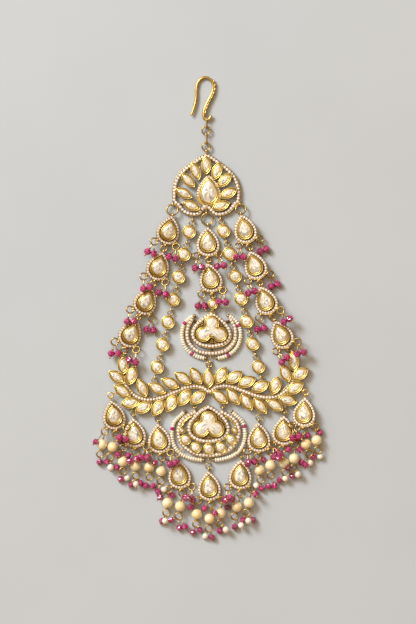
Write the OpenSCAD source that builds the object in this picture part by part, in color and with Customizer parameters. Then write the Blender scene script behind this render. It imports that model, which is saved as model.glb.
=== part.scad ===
// A passa jhoomar headpiece, laid out face up: hook at +Y, fringe at -Y, +Z up.

/* [Sheet and wire] */
// Thickness of the soldered back plates
plate_t = 1.1; // [0.9:0.1:1.4]
// Height of the halo that carries the small white stones
halo_t = 1.6; // [1.4:0.1:1.9]
// Height of a stone cup's wall
cup_t = 2.5; // [2.2:0.1:2.9]
// Width of a stone cup's wall
wall = 0.55; // [0.45:0.05:0.65]
// Clearance between a stone and its cup
fit = 0.08; // [0.05:0.01:0.1]
// Radius of the wire in lugs and rings
wire_r = 0.25; // [0.2:0.01:0.28]
// Mean radius of a small lug's eye
eye_r = 0.72; // [0.68:0.01:0.8]
// Height of the eyes above the surface
eye_z = 1.3; // [1.2:0.05:1.5]

/* [Pear settings] */
// Width of a pear halo
pear_w = 9; // [8.4:0.1:9.4]
// Length of a pear halo
pear_l = 11.6; // [11:0.1:12]
// Width of the pear cup
cup_w = 6.1; // [5.6:0.1:6.4]
// Length of the pear cup
cup_l = 8.1; // [7.6:0.1:8.4]
// Width of the groove between cup and halo
groove = 0.4; // [0.3:0.05:0.5]
// Roll of the outer pears toward the middle, in degrees
roll = 12; // [6:1:14]

/* [Leaves] */
// Length of a leaf cup
leaf_l = 7.8; // [7.2:0.1:8]
// Width of a leaf cup
leaf_w = 4.3; // [3.9:0.1:4.5]
// Width of the garland's stem
stem_w = 1.7; // [1.4:0.1:2]

/* [Lotus plate] */
// Width of the lotus plate
lotus_w = 28.2; // [27:0.1:29]
// Height of the lotus plate
lotus_h = 25.2; // [24.5:0.1:26]
// Width of its rim
rim_w = 1.4; // [1.1:0.1:1.6]

/* [Medallions] */
// Radius of a lobe of the upper trefoil cup
upper_lobe = 2.9; // [2.6:0.1:3.1]
// Radius of a lobe of the lower trefoil cup
lower_lobe = 3.2; // [2.9:0.1:3.3]
// Width of the outer crescents
crescent_w = 1.3; // [1.1:0.1:1.5]
// Radius of a seed pearl
seed_r = 0.85; // [0.7:0.05:0.95]

/* [Chains and drops] */
// Outer radius of a round chain setting
link_r = 2.6; // [2.4:0.05:2.7]
// Mean radius of a drop's round ring
drop_r = 1.38; // [1.3:0.02:1.44]
// Radius of a ruby bead
ruby_r = 1.3; // [1.15:0.05:1.35]
// Radius of a big pearl
pearl_r = 2.12; // [1.9:0.02:2.16]
// Radius of the head pins and eye pins
pin_r = 0.2; // [0.16:0.01:0.22]
// Radius of the ball that ends a head pin
tip_r = 0.42; // [0.34:0.02:0.46]
// Clearance of a bead on its pin
bore_gap = 0.1; // [0.08:0.01:0.12]

/* [Hook] */
// Radius of the hook's wire
hook_r = 0.6; // [0.5:0.02:0.64]

/* [Hidden] */
$fn = 40;
gold = "goldenrod";
clear = "whitesmoke";
ruby = "mediumvioletred";
cream = "cornsilk";

// How far a lug's eye centre stands out from the edge that carries it
eye_out = 0.42;
// The same for the long bails of the fringe
bail_out = 1.15;
// Half the angle between a pear's two side lugs
side_lug = 37;
// Step along the pear's outline, in degrees, from its foot to the edge that carries a side lug
side_step = 40;
// Half the angle between the two head pins of one ring
splay = 22.5;
// Distance from a ring's lowest wire to the middle of a ruby bead
pin_reach = 3.6;
// Share of a drop's rise that its ring takes up
ring_share = 0.55;
// Angle on the ring between its lowest wire and the root of each pin
pin_root = 11;
// Height of the axis of an eye pin, with its pearl on the surface
pearl_z = pearl_r + 0.02;
// Turn of the leaf garland about its middle, in degrees
bar_turn = 1;

// Shift of the whole layout that brings the middle of its outline to the origin
laid_shift = [-0.4, -1.9, 0];
// Hand-laid places of the strands. Columns: x, y, lean in degrees, roll (1 left, -1 right, 0 flat)
LEFT = [[-16.2, 31.5, -14, 1], [-20.2, 17.2, -17, 1], [-25.2, 3.4, -23, 1], [-31.2, -9.6, -23, 1]];
RIGHT = [[14.8, 32, 14, -1], [18.8, 17.6, 18, -1], [23, 3.6, 20, -1], [29.2, -10, 24, -1]];
CENTRE = [[-0.2, 26.75, 0, 0], [0.8, 12.4, 8, 0]];
FRINGE = [
    [-38.1, -42.4, 9, 1], [-29.6, -49.6, 3, 0], [-19.7, -51.8, 4, 0],
    [-11.7, -66, 6, 0], [0.3, -70.8, 2, 0], [12.7, -66.2, -3, 0],
    [20.1, -51.4, 0, 0], [30, -48.6, -2, 0], [38.5, -41.3, -4, -1]
];
STRANDS = [LEFT, RIGHT, CENTRE, FRINGE];
// How the ruby drops hang. Columns: strand, pear, side (-1 left, 1 right), direction of the ring and of the
// pins in degrees, height of the beads, which lie partly on the pieces below them
RUBY_DROPS = [
    [0, 0, -1, -148, -107, 3.86], [0, 0, 1, -56, -108, 3.4], [0, 1, -1, -151, -75, 4.4], [0, 1, 1, -49, -104, 3.86],
    [0, 2, -1, -157, -87, 4.4], [0, 2, 1, -55, -95, 1.32], [0, 3, -1, -167, -90, 2.95], [0, 3, 1, -45, -109, 3.86],
    [1, 0, -1, -94, -86, 3.86], [1, 0, 1, -12, -71, 1.32], [1, 1, -1, -140, -73, 3.86], [1, 1, 1, -8, -69, 1.32],
    [1, 2, -1, -128, -81, 1.32], [1, 2, 1, -36, -59, 4.4], [1, 3, -1, -124, -47, 3.86], [1, 3, 1, -2, -74, 3.86],
    [2, 0, -1, -137, -81, 2.95], [2, 0, 1, -23, -83, 4.9], [2, 1, -1, -119, -91, 1.32], [2, 1, 1, -45, -94, 3.86],
    [3, 0, 1, -33, -108, 4.4], [3, 1, 1, -30, -98, 3.86], [3, 2, 1, -59, -73, 3.86], [3, 3, 1, -27, -105, 3.4],
    [3, 5, -1, -160, -85, 3.4], [3, 6, -1, -147, -71, 3.4], [3, 7, -1, -129, -67, 4.4], [3, 8, -1, -142, -73, 4.4]
];
// How the pearl drops hang. Columns: fringe pear, side, direction of the ring and of the pin in degrees
PEARL_DROPS = [
    [0, -1, -125, -102], [0, 0, -89, -105], [1, -1, -144, -91], [1, 0, -87, -89], [2, -1, -143, -87],
    [2, 0, -66, -92], [3, -1, -141, -96], [3, 0, -64, -99], [4, -1, -145, -94], [4, 0, -68, -96],
    [4, 1, -31, -94], [5, 0, -73, -105], [5, 1, -36, -101], [6, 0, -110, -83], [6, 1, -33, -91],
    [7, 0, -112, -81], [7, 1, -35, -94], [8, 0, -116, -72], [8, 1, -30, -84]
];
// Middle of the lotus plate: x of its axis and y of its lower edge
LOTUS = [-0.9, 37];
// Middle of the halos of the upper and the lower medallion: x, y, width, length
UPPER = [1.1, -8.45, 16.2, 14.3];
LOWER = [0, -46, 17, 15.2];
// The centre link: x, y
LINK = [1.8, 1.95];
link_size = 1.9;
link_top = LINK + [0, link_size + eye_out];
link_low = LINK + [0, -link_size - eye_out];
// Inner chains: first joint x, y, and last joint x, y
CHAIN_L = [-6.5, 35.6, -21.4, -27.4];
CHAIN_R = [4.8, 36, 21, -27.2];
// The hook's bends from its free tip, laid by hand: x, y
HOOK = [
    [-6.9, 77.4], [-5.6, 81], [-4.9, 84.6], [-4.8, 88], [-4, 90.9], [-1.9, 92.5],
    [0.5, 91.9], [1.9, 89.6], [1.4, 86.2], [-0.4, 82.6], [-1.7, 79.4], [-1.9, 76.9],
    [-1, 75.6], [0.2, 75.9], [1, 76.9]
];

// Plan vectors and turns
function unit(a) = [cos(a), sin(a)];
function turned(p, a) = [p.x * cos(a) - p.y * sin(a), p.x * sin(a) + p.y * cos(a)];
function raised(p, z) = [p.x, p.y, z];
function flat(p) = [p.x, p.y];
function heading(v) = atan2(v.y, v.x);

// A pointed pear, tip at +Y: blunt makes the tip fuller
blunt = 0.7;
pear_peak = atan(sqrt(1 + blunt));
pear_gain = 1 / (sin(2 * pear_peak) * pow(sin(pear_peak), blunt));
function pear_at(w, l, t) = [w / 2 * pear_gain * sin(t) * pow(abs(sin(t / 2)), blunt), l / 2 * cos(t)];
function pear(w, l, n = 36) = [for (i = [0:n - 1]) pear_at(w, l, -360 * i / n)];

// A smooth run through hand-laid points
function knot(p, i) = p[max(0, min(len(p) - 1, i))];
function bend(a, b, c, d, t) =
    0.5 * (2 * b + (c - a) * t + (2 * a - 5 * b + 4 * c - d) * t * t + (3 * b - a - 3 * c + d) * t * t * t);
function run(p, n) = [
    for (i = [0:len(p) - 2], k = [0:n - 1]) bend(knot(p, i - 1), p[i], p[i + 1], knot(p, i + 2), k / n),
    p[len(p) - 1]
];
function along(p, i) = let (v = knot(p, i + 1) - knot(p, i - 1)) v / norm(v);
function beside(p, i, d) = p[i] + d * [-along(p, i).y, along(p, i).x];
function strip(p, w) = concat(
    [for (i = [0:len(p) - 1]) beside(p, i, w / 2)],
    [for (i = [len(p) - 1:-1:0]) beside(p, i, -w / 2)]
);
function mirrored(p, x0) = [for (i = [len(p) - 1:-1:0]) [2 * x0 - p[i].x, p[i].y]];

// Plain solids
module laid(tint) {
    translate(laid_shift) color(tint) children();
}

module slab(points, h, z = 0) {
    translate([0, 0, z]) linear_extrude(h) polygon(points);
}

module ring(r, wire) {
    rotate_extrude() translate([r, 0]) circle(wire, $fn = 20);
}

module rod(a, b, r) {
    v = b - a;
    translate(a)
        rotate([0, acos(v.z / norm(v)), heading(v)])
            cylinder(h = norm(v), r = r, $fn = 20);
}

// A ring that stands on edge, seen from above along the direction a
module edge_ring(at, a, r = eye_r, wire = wire_r) {
    translate(at) rotate([0, 0, a]) rotate([90, 0, 0]) ring(r, wire);
}

// A ring laid from one eye to another, through both
module span_ring(a, b, slack = 0, wire = wire_r) {
    v = b - a;
    translate((a + b) / 2)
        rotate([0, -asin(v.z / norm(v)), heading(v)])
            ring(norm(v) / 2 + slack, wire);
}

// A wire lug from inside a plate to a standing eye
module lug(base, at, z = eye_z) {
    edge_ring(raised(at, z), heading(at - base));
    foot = at + (base - at) / norm(base - at) * eye_r;
    if (norm(base - foot) > wire_r)
        rod(raised(base, min(z, eye_z)), raised(foot, z), wire_r * 1.15);
}

// A wire lug from inside a plate to a flat ring
module flat_lug(base, at, z, r) {
    translate(raised(at, z)) ring(r, wire_r);
    foot = at + (base - at) / norm(base - at) * r;
    rod(raised(base, min(z, eye_z)), raised(foot, z), wire_r * 1.15);
}

module leaf_shape(l, w) {
    r = (l * l + w * w) / (4 * w);
    intersection() {
        translate([0, r - w / 2]) circle(r, $fn = 64);
        translate([0, w / 2 - r]) circle(r, $fn = 64);
    }
}

function leaf_points(l, w, n = 6) =
    let (r = (l * l + w * w) / (4 * w), half = asin(l / 2 / r))
    concat(
        [for (i = [0:n - 1]) let (a = -half + 2 * half * i / n) [r * sin(a), w / 2 - r + r * cos(a)]],
        [for (i = [0:n - 1]) let (a = half - 2 * half * i / n) [r * sin(a), r - w / 2 - r * cos(a)]]
    );

// A cut stone on its outline: girdle, crown facets and a flat table
stone_floor = 1.25;
girdle = 1;
crown = 0.75;
table = 0.6;
module cut_stone(outline) {
    n = len(outline);
    top = girdle + crown;
    points = concat(
        [for (p = outline) [p.x, p.y, 0]],
        [for (p = outline) [p.x, p.y, girdle]],
        [for (p = outline) [p.x * table, p.y * table, top]]
    );
    sides = [for (k = [0:1], i = [0:n - 1])
        [k * n + i, k * n + (i + 1) % n, (k + 1) * n + (i + 1) % n, (k + 1) * n + i]];
    faces = concat([[for (i = [0:n - 1]) i]], [for (s = sides) [s[3], s[2], s[1], s[0]]],
        [[for (i = [n - 1:-1:0]) 2 * n + i]]);
    translate([0, 0, stone_floor + fit]) polyhedron(points, faces);
}

function ccw_sum(p) = [for (i = [0:len(p) - 1]) let (q = p[(i + 1) % len(p)]) p[i].x * q.y - q.x * p[i].y];
function total(v, i = 0) = i == len(v) ? 0 : v[i] + total(v, i + 1);
function clockwise(p) = total(ccw_sum(p)) > 0 ? [for (i = [len(p) - 1:-1:0]) p[i]] : p;

// Pear settings
function pear_lift(row) = sin(roll) * abs(row[3]) * pear_w / 2;
function pear_out(row, p) =
    let (
        a = roll * row[3],
        q = turned([p.x * cos(a) + p.z * sin(a), p.y], row[2])
    )
    [q.x + row.x, q.y + row.y, p.z * cos(a) - p.x * sin(a) + pear_lift(row)];
module at_pear(row) {
    translate([row.x, row.y, pear_lift(row)])
        rotate([0, 0, row[2]])
            rotate([0, roll * row[3], 0])
                children();
}

// Eyes of a pear in its own plane: side -1 left, 0 middle, 1 right
function lug_dir(side) = 270 + side * side_lug;
function lug_foot(side) =
    let (p = pear_at(pear_w, pear_l, 180 - side * side_step)) norm(p) * unit(lug_dir(side));
function lug_eye(side) = lug_foot(side) + eye_out * unit(lug_dir(side));
function top_eye(out) = [0, pear_l / 2 + out];
function bottom_hole(row, side) = pear_out(row, raised(lug_eye(side), eye_z));
function top_hole(row, out) = pear_out(row, raised(top_eye(out), eye_z));

module pear_setting(row, out, sides) {
    at_pear(row) {
        difference() {
            union() {
                slab(pear(pear_w, pear_l), halo_t);
                slab(pear(cup_w, cup_l), cup_t);
            }
            difference() {
                slab(pear(cup_w + 2 * groove, cup_l + 2 * groove), cup_t, plate_t);
                slab(pear(cup_w, cup_l), cup_t);
            }
            slab(pear(cup_w - 2 * wall, cup_l - 2.4 * wall), cup_t, stone_floor);
        }
        lug([0, pear_l / 2 - wire_r], top_eye(out));
        for (s = sides) lug(lug_foot(s) * 0.95, lug_eye(s));
    }
}

module pear_stone(row) {
    at_pear(row)
        cut_stone(clockwise(pear(cup_w - 2 * wall - 2 * fit, cup_l - 2.4 * wall - 2.4 * fit, 14)));
}

// A drop hangs on a lug of the pear in row. d: direction of its ring in degrees, direction of its pins,
// height of its beads
function ring_low(row, side, d) =
    let (
        h = bottom_hole(row, side),
        rise = (d[2] - h.z) * ring_share,
        reach = sqrt(4 * drop_r * drop_r - rise * rise)
    )
    [h.x + reach * cos(d[0]), h.y + reach * sin(d[0]), h.z + rise];
// The point of that ring's wire from which the pins hang, or one turned from it by some degrees
function ring_foot(row, side, d, turn = 0) =
    let (
        h = bottom_hole(row, side),
        e = (ring_low(row, side, d) - h) / (2 * drop_r),
        g = [-e.y, e.x, 0] / norm(flat(e)),
        t = heading([cos(d[1] - d[0]) / norm(flat(e)), sin(d[1] - d[0])]) + turn
    )
    h + drop_r * e + drop_r * (cos(t) * e + sin(t) * g);

// The middle of a ruby bead on its head pin, and the pin's own direction
function ruby_mid(row, side, d, s) =
    raised(flat(ring_foot(row, side, d)) + pin_reach * unit(d[1] + s * splay), d[2]);
function pin_dir(row, side, d, s) =
    let (v = ruby_mid(row, side, d, s) - ring_foot(row, side, d, s * pin_root)) v / norm(v);

module ruby_ring(row, side, d) {
    span_ring(bottom_hole(row, side), ring_low(row, side, d));
    for (s = [-1, 1]) {
        tip = ruby_mid(row, side, d, s) + (ruby_r + bore_gap + tip_r) * pin_dir(row, side, d, s);
        rod(ring_foot(row, side, d, s * pin_root), tip, pin_r);
        translate(tip) sphere(tip_r, $fn = 20);
    }
}

module ruby_pair(row, side, d) {
    for (s = [-1, 1]) {
        v = pin_dir(row, side, d, s);
        translate(ruby_mid(row, side, d, s))
            rotate([0, acos(v.z), heading(v)])
                difference() {
                    sphere(ruby_r);
                    cylinder(h = 3 * ruby_r, r = pin_r + bore_gap, center = true, $fn = 20);
                }
    }
}

// An eye pin: its small eye holds the upper ring, its round lower loop hangs under the pearl
pin_eye = 0.62;
pin_drop = 4.05;
module eye_pin(row, side, d) {
    foot = ring_foot(row, side, d);
    way = unit(d[1]);
    low = flat(foot) + (pin_drop + pearl_r + bore_gap + wire_r) * way;
    edge_ring(foot, d[1], pin_eye, pin_r);
    rod(raised(flat(foot) + pin_eye * way, pearl_z), raised(low, pearl_z), pin_r * 0.9);
    translate(raised(low + drop_r * way, pearl_z)) ring(drop_r, wire_r);
}

module big_pearl(row, side, d) {
    at = flat(ring_foot(row, side, d)) + pin_drop * unit(d[1]);
    translate(raised(at, pearl_z))
        difference() {
            sphere(pearl_r, $fn = 48);
            rotate([90, 0, d[1] - 90]) cylinder(h = 3 * pearl_r, r = pin_r + bore_gap, center = true, $fn = 20);
        }
}

// Leaf cups: x, y, turn of the long axis, on the right half; the left half mirrors it
GARLAND = [
    [34, -21.6, 90], [36.6, -26.5, 37], [30.7, -26, 108], [26.6, -31, 68], [20.6, -31.3, 27],
    [15.3, -29.3, 24], [10.2, -27.4, 34], [5, -26.6, 58], [34.5, -32.1, 34], [31.4, -36.9, -11],
    [26.1, -38.8, -30], [20.4, -39, -52], [15, -37.3, -59], [9.7, -35.2, -52], [4.4, -35.2, -40]
];
TOP_LEAF = [0, -27.6, 90];
// Places on the garland from which the rings of the lower medallion and the eye of the upper one stand out
RING_ROOT = [6.6, -36];
MID_ROOT = [0, -24.6];
STEM = [
    [0, -33.4], [2.3, -31.5], [5.5, -30.8], [9.1, -31.2], [13.1, -32.7], [17.1, -34.3],
    [21.1, -35.5], [25.1, -35.7], [28.7, -34.6], [31.6, -32.2], [33.4, -29.4], [33.8, -26]
];
function bar_place(p) = turned(p + [0, 30], bar_turn) + [0.1, -30];
function flipped(row) = [-row.x, row.y, 180 - row[2]];
LEAVES = concat([TOP_LEAF], GARLAND, [for (g = GARLAND) flipped(g)]);

module at_leaf(row) {
    p = bar_place(row);
    translate([p.x, p.y, 0]) rotate([0, 0, row[2] + bar_turn]) children();
}

// Leaves that carry the hanging loops, for the fringe pears that hang on the garland
HANGERS = [[0, 24], [1, 25], [2, 27], [6, 12], [7, 10], [8, 9]];
hang_r = 1.12;
function hanger(row) =
    let (h = top_hole(row, bail_out), a = row[2] + 90) raised(flat(h) + hang_r * unit(a), h.z);

// Petals of the lotus, as shares of its half width and height from the lower edge: x, y, turn
PETALS = [[0, 0.81, 90], [0.3, 0.714, 70], [0.518, 0.571, 45], [0.631, 0.365, 27], [0.418, 0.167, 20]];
petal_l = 7.5;
petal_w = 3.9;
function lotus_place(x, y) = [LOTUS.x + x * lotus_w / 2, LOTUS.y + y * lotus_h];
LOTUS_PETALS = concat(
    [for (p = PETALS) [p.x, p.y, p[2]]],
    [for (i = [1:len(PETALS) - 1]) [-PETALS[i].x, PETALS[i].y, 180 - PETALS[i][2]]]
);
RIM = [
    [0, 0.964], [0.15, 0.925], [0.35, 0.845], [0.589, 0.746], [0.8, 0.61], [0.9, 0.44], [0.905, 0.3],
    [0.9, 0.24], [0.79, 0.19], [0.667, 0.103], [0.532, 0.055], [0.355, 0.036], [0.241, 0.05],
    [0.12, 0.115], [0, 0.183]
];
rim_path = run([for (p = RIM) lotus_place(p.x, p.y)], 3);
lotus_heart = lotus_place(0.07, 0.4);
heart_w = 7.6;
heart_l = 10.8;
heart_halo = 2;

module at_petal(row) {
    p = lotus_place(row.x, row.y);
    translate([p.x, p.y, 0]) rotate([0, 0, row[2]]) children();
}

module lotus_frame() {
    laid(gold) {
        difference() {
            union() {
                slab(strip(rim_path, rim_w), halo_t);
                slab(strip(mirrored(rim_path, LOTUS.x), rim_w), halo_t);
                translate(raised(lotus_heart, 0)) {
                    slab(pear(heart_w + heart_halo, heart_l + heart_halo), halo_t);
                    slab(pear(heart_w, heart_l), cup_t);
                }
                for (p = LOTUS_PETALS)
                    at_petal(p) {
                        linear_extrude(cup_t) leaf_shape(petal_l, petal_w);
                        translate([-petal_l / 2 - 1.1, -0.6, 0]) cube([petal_l + 2.2, 1.2, plate_t - 0.2]);
                    }
            }
            for (p = LOTUS_PETALS)
                at_petal(p)
                    translate([0, 0, stone_floor])
                        linear_extrude(cup_t) leaf_shape(petal_l - 3 * wall, petal_w - 2 * wall);
            translate(raised(lotus_heart, 0))
                slab(pear(heart_w - 2 * wall, heart_l - 2.4 * wall), cup_t, stone_floor);
        }
        lug(lotus_place(0, 0.95), lotus_top_eye);
        lug(lotus_place(0.905, 0.26), lotus_side_eye(1));
        lug(lotus_place(-0.905, 0.26), lotus_side_eye(-1));
        lug(lotus_place(0, 0.183), lotus_low_eye);
        lug(lotus_place(-0.4, 0.04), flat(chain_start(CHAIN_L)));
        lug(lotus_place(0.4, 0.04), flat(chain_start(CHAIN_R)));
    }
}

module lotus_centre_stone() {
    laid(clear)
        translate(raised(lotus_heart, 0))
            cut_stone(clockwise(pear(heart_w - 2 * wall - 2 * fit, heart_l - 2.4 * wall - 2.4 * fit, 16)));
}

module lotus_petal_stones() {
    laid(clear)
        for (p = LOTUS_PETALS)
            at_petal(p)
                cut_stone(clockwise(leaf_points(petal_l - 3 * wall - 3 * fit, petal_w - 2 * wall - 2 * fit)));
}

lotus_top_eye = LOTUS + [0, lotus_h + 0.9];
function lotus_side_eye(s) = lotus_place(s * 0.96, 0.26) - [0, 1.75];
lotus_low_eye = lotus_place(0, 0.05);

// Trefoils: three lobes, as offsets of their middles from the halo's middle
UPPER_LOBES = [[0.2, 2.9], [-3.2, -1.7], [3.4, -1.7]];
LOWER_LOBES = [[0, 2], [-3, -1.9], [3, -1.9]];

module trefoil(lobes, r) {
    for (p = concat([[0, 0]], lobes)) translate(p) circle(r);
}

// Distance from the middle to a trefoil's edge, for its stone
function lobe_reach(p, r, a) =
    let (d = p * unit(a), h = p * [-sin(a), cos(a)]) abs(h) < r ? d + sqrt(r * r - h * h) : 0;
function trefoil_points(lobes, r, n = 30) =
    [for (i = [0:n - 1]) let (a = 90 + 360 * i / n)
        max([for (p = concat([[0, 0]], lobes)) lobe_reach(p, r, a)]) * unit(a)];

module medallion(place, lobes, lobe_r) {
    translate(raised(flat(place), 0))
        difference() {
            union() {
                slab(pear(place[2], place[3], 48), halo_t);
                linear_extrude(cup_t) trefoil(lobes, lobe_r);
            }
            translate([0, 0, stone_floor]) linear_extrude(cup_t) trefoil(lobes, lobe_r - wall);
            translate([0, 0, plate_t])
                linear_extrude(cup_t)
                    difference() {
                        trefoil(lobes, lobe_r + groove);
                        trefoil(lobes, lobe_r);
                    }
        }
}

module medallion_stone(place, lobes, lobe_r) {
    translate(raised(flat(place), 0))
        cut_stone(clockwise(trefoil_points(lobes, lobe_r - wall - fit)));
}

// Crescents: half of each centre line from the top end to the bottom, as offsets from the halo's middle
UPPER_CRESCENT = [[-7.6, 4.6], [-9.2, 1.6], [-9.7, -1.6], [-8.9, -5], [-6.3, -7.8], [-3, -9], [0, -9.3]];
LOWER_CRESCENT = [
    [-5, 5], [-8.6, 3.2], [-11, 0.9], [-12.1, -2.2], [-11.8, -5.4], [-10.2, -8.4], [-7, -11],
    [-3.4, -12.2], [0, -12.5]
];
function crescent(place, half) =
    let (left = run([for (p = half) p + flat(place)], 4))
    concat(left, [for (p = mirrored(left, place.x)) if (p.x > place.x + 0.01) p]);

// Small round cups between the lower halo and its crescent: x, y, radius
ROUNDS = [
    [-10.5, -2.6, 1.2], [-9.1, -6.2, 2.1], [-5, -9.3, 2.2], [0, -9.9, 2.2],
    [5, -9.3, 2.2], [9.1, -6.2, 2.1], [10.5, -2.6, 1.2]
];

module upper_medallion_frame() {
    laid(gold) {
        medallion(UPPER, UPPER_LOBES, upper_lobe);
        slab(strip(crescent(UPPER, UPPER_CRESCENT), crescent_w), halo_t);
        for (s = [-1, 1])
            rod([UPPER.x + s * 5, UPPER.y + 3, 0.6], [UPPER.x + s * 8, UPPER.y + 4, 0.6], 0.5);
        rod([UPPER.x, UPPER.y - 6.5, 0.6], [UPPER.x, UPPER.y - 9.3, 0.6], 0.5);
        lug([UPPER.x, UPPER.y - 9.3], upper_low_eye);
        flat_lug([UPPER.x, UPPER.y + UPPER[3] / 2 - 0.8], upper_top_ring, eye_z, upper_ring_r);
    }
}

upper_low_eye = flat(UPPER) + [-0.6, -12.7];
upper_ring_r = 0.85;
upper_top_ring = flat(LINK) + [0, -link_size - eye_out - upper_ring_r];

module upper_medallion_stone() {
    laid(clear) medallion_stone(UPPER, UPPER_LOBES, upper_lobe);
}

module lower_medallion_frame() {
    laid(gold) {
        difference() {
            union() {
                medallion(LOWER, LOWER_LOBES, lower_lobe);
                slab(strip(crescent(LOWER, LOWER_CRESCENT), crescent_w), halo_t);
                for (r = ROUNDS)
                    translate(raised(flat(r) + flat(LOWER), 0)) cylinder(h = cup_t - 0.3, r = r[2]);
            }
            for (r = ROUNDS)
                translate(raised(flat(r) + flat(LOWER), stone_floor)) cylinder(h = cup_t, r = r[2] - 0.45);
        }
        for (s = [-1, 1])
            lug(flat(LOWER) + [s * 5, 5], lower_top_eye(s));
        for (k = [3, 5]) {
            h = hanger(FRINGE[k]);
            flat_lug(flat(LOWER) + [sign(h.x) * 9.6, -9], flat(h), h.z, hang_r);
        }
        low = hanger(FRINGE[4]);
        flat_lug(flat(LOWER) + [0, -12.5], flat(low), low.z, hang_r);
    }
}

function lower_top_eye(s) = flat(LOWER) + [s * 5.6, 6.4];

module lower_medallion_stone() {
    laid(clear) medallion_stone(LOWER, LOWER_LOBES, lower_lobe);
}

module lower_medallion_small_stones() {
    laid(clear)
        for (r = ROUNDS)
            translate(raised(flat(r) + flat(LOWER), 0))
                cut_stone([for (i = [0:11]) (r[2] - 0.45 - fit) * unit(-30 * i)]);
}

// Strings of seed pearls: half of each run, as offsets from the halo's middle
UPPER_STRING = [
    [-6.9, 5.3], [-9.2, 3.9], [-11.2, 2.2], [-12.2, -0.9], [-12.5, -4], [-11.6, -6.6], [-9.6, -9],
    [-6.6, -10.9], [-3.6, -11.6], [-1.7, -11.7]
];
LOWER_STRING = [
    [-9, 5.4], [-11.5, 3], [-13.7, 0.7], [-14.5, -2.6], [-14.5, -6], [-13.3, -9.4], [-10.9, -12],
    [-7.6, -13.5], [-4.4, -14.2], [-1.5, -14.4]
];
string_sides = 8;

module tube(path, r) {
    n = len(path);
    m = string_sides;
    points = [for (i = [0:n - 1], k = [0:m - 1])
        let (t = along(path, i), a = 360 * k / m)
        [path[i].x - t.y * r * cos(a), path[i].y + t.x * r * cos(a), r + r * sin(a)]];
    walls = [for (i = [0:n - 2], k = [0:m - 1])
        [i * m + k, i * m + (k + 1) % m, (i + 1) * m + (k + 1) % m, (i + 1) * m + k]];
    ends = [[for (k = [m - 1:-1:0]) k], [for (k = [0:m - 1]) (n - 1) * m + k]];
    translate([0, 0, 0.02]) polyhedron(points, concat(walls, ends));
}

module pearl_strings() {
    laid(cream)
        for (s = [[UPPER, UPPER_STRING], [LOWER, LOWER_STRING]]) {
            left = run([for (p = s[1]) p + flat(s[0])], 2);
            tube(left, seed_r);
            tube(mirrored(left, s[0].x), seed_r);
        }
}

module leaf_bar_frame() {
    right = run([for (p = STEM) bar_place(p)], 3);
    left = run([for (p = STEM) bar_place([-p.x, p.y])], 3);
    laid(gold) {
        difference() {
            union() {
                slab(strip(right, stem_w), halo_t);
                slab(strip(left, stem_w), halo_t);
                for (p = LEAVES)
                    at_leaf(p) {
                        linear_extrude(cup_t) leaf_shape(leaf_l, leaf_w);
                        translate([-leaf_l / 2 - 0.5, -0.6, 0]) cube([leaf_l + 1, 1.2, plate_t - 0.1]);
                    }
            }
            for (p = LEAVES)
                at_leaf(p)
                    translate([0, 0, stone_floor])
                        linear_extrude(cup_t) leaf_shape(leaf_l - 3 * wall, leaf_w - 2 * wall);
        }
        for (h = HANGERS) {
            at = hanger(FRINGE[h[0]]);
            flat_lug(bar_place(LEAVES[h[1]]), flat(at), at.z, hang_r);
        }
        for (s = [-1, 1]) {
            lug(bar_tip(s), flat(bar_top_hole(s)));
            flat_lug(bar_place([s * RING_ROOT.x, RING_ROOT.y]), flat(lower_ring(s)), eye_z, lower_ring_r);
        }
        lug(bar_place(MID_ROOT), bar_mid_hole);
        flat_lug(bar_place(LEAVES[4 + 16]), flat(chain_end(CHAIN_L)), eye_z, chain_ring);
        flat_lug(bar_place(LEAVES[5]), flat(chain_end(CHAIN_R)), eye_z, chain_ring);
    }
}

// The tips of the two outermost leaves, and the eyes that stand out from them toward the last pears
function bar_tip(s) = bar_place([s * GARLAND[0].x, GARLAND[0].y + leaf_l / 2 - wire_r]);
function bar_top_hole(s) =
    let (v = flat(bottom_hole(s < 0 ? LEFT[3] : RIGHT[3], 0)) - bar_tip(s))
    bar_tip(s) + v / norm(v) * (wire_r + eye_out);
bar_mid_hole = bar_place(MID_ROOT + [0, 1.4]);
lower_ring_r = 0.9;
function lower_ring(s) = lower_top_eye(s) + [0, lower_ring_r];

module leaf_bar_stones() {
    laid(clear)
        for (p = LEAVES)
            at_leaf(p)
                cut_stone(clockwise(leaf_points(leaf_l - 3 * wall - 3 * fit, leaf_w - 2 * wall - 2 * fit)));
}

// Inner chains: round settings with a flat ring above and a standing eye below
chain_n = 7;
chain_ring = 1.05;
link_wall = 0.6;
function chain_step(c) = ([c[2], c[3]] - [c[0], c[1]]) / chain_n;
function chain_down(c) = chain_step(c) / norm(chain_step(c));
function chain_start(c) = [c[0], c[1]];
function chain_joint(c, k) = chain_start(c) + k * chain_step(c);
function chain_place(c, k) =
    chain_joint(c, k) + (norm(chain_step(c)) / 2 + chain_shift) * chain_down(c);
function chain_end(c) = chain_joint(c, chain_n) + chain_ring * chain_down(c);
chain_shift = 0.35;

module chain(c) {
    d = chain_down(c);
    for (k = [0:chain_n - 1]) {
        p = chain_place(c, k);
        difference() {
            translate(raised(p, 0)) cylinder(h = cup_t, r = link_r);
            translate(raised(p, stone_floor)) cylinder(h = cup_t, r = link_r - link_wall);
        }
        flat_lug(p - d * (link_r - 0.3), chain_joint(c, k) + chain_ring * d, eye_z, chain_ring);
        lug(p + d * (link_r - 0.3), chain_joint(c, k + 1));
    }
}

module round_stone(p, r) {
    translate(raised(p, 0)) cut_stone([for (i = [0:11]) (r - fit) * unit(-30 * i)]);
}

module chain_stones() {
    laid(clear) {
        for (c = [CHAIN_L, CHAIN_R], k = [0:chain_n - 1])
            round_stone(chain_place(c, k), link_r - link_wall);
        round_stone(LINK, link_size - link_wall);
    }
}

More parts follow.
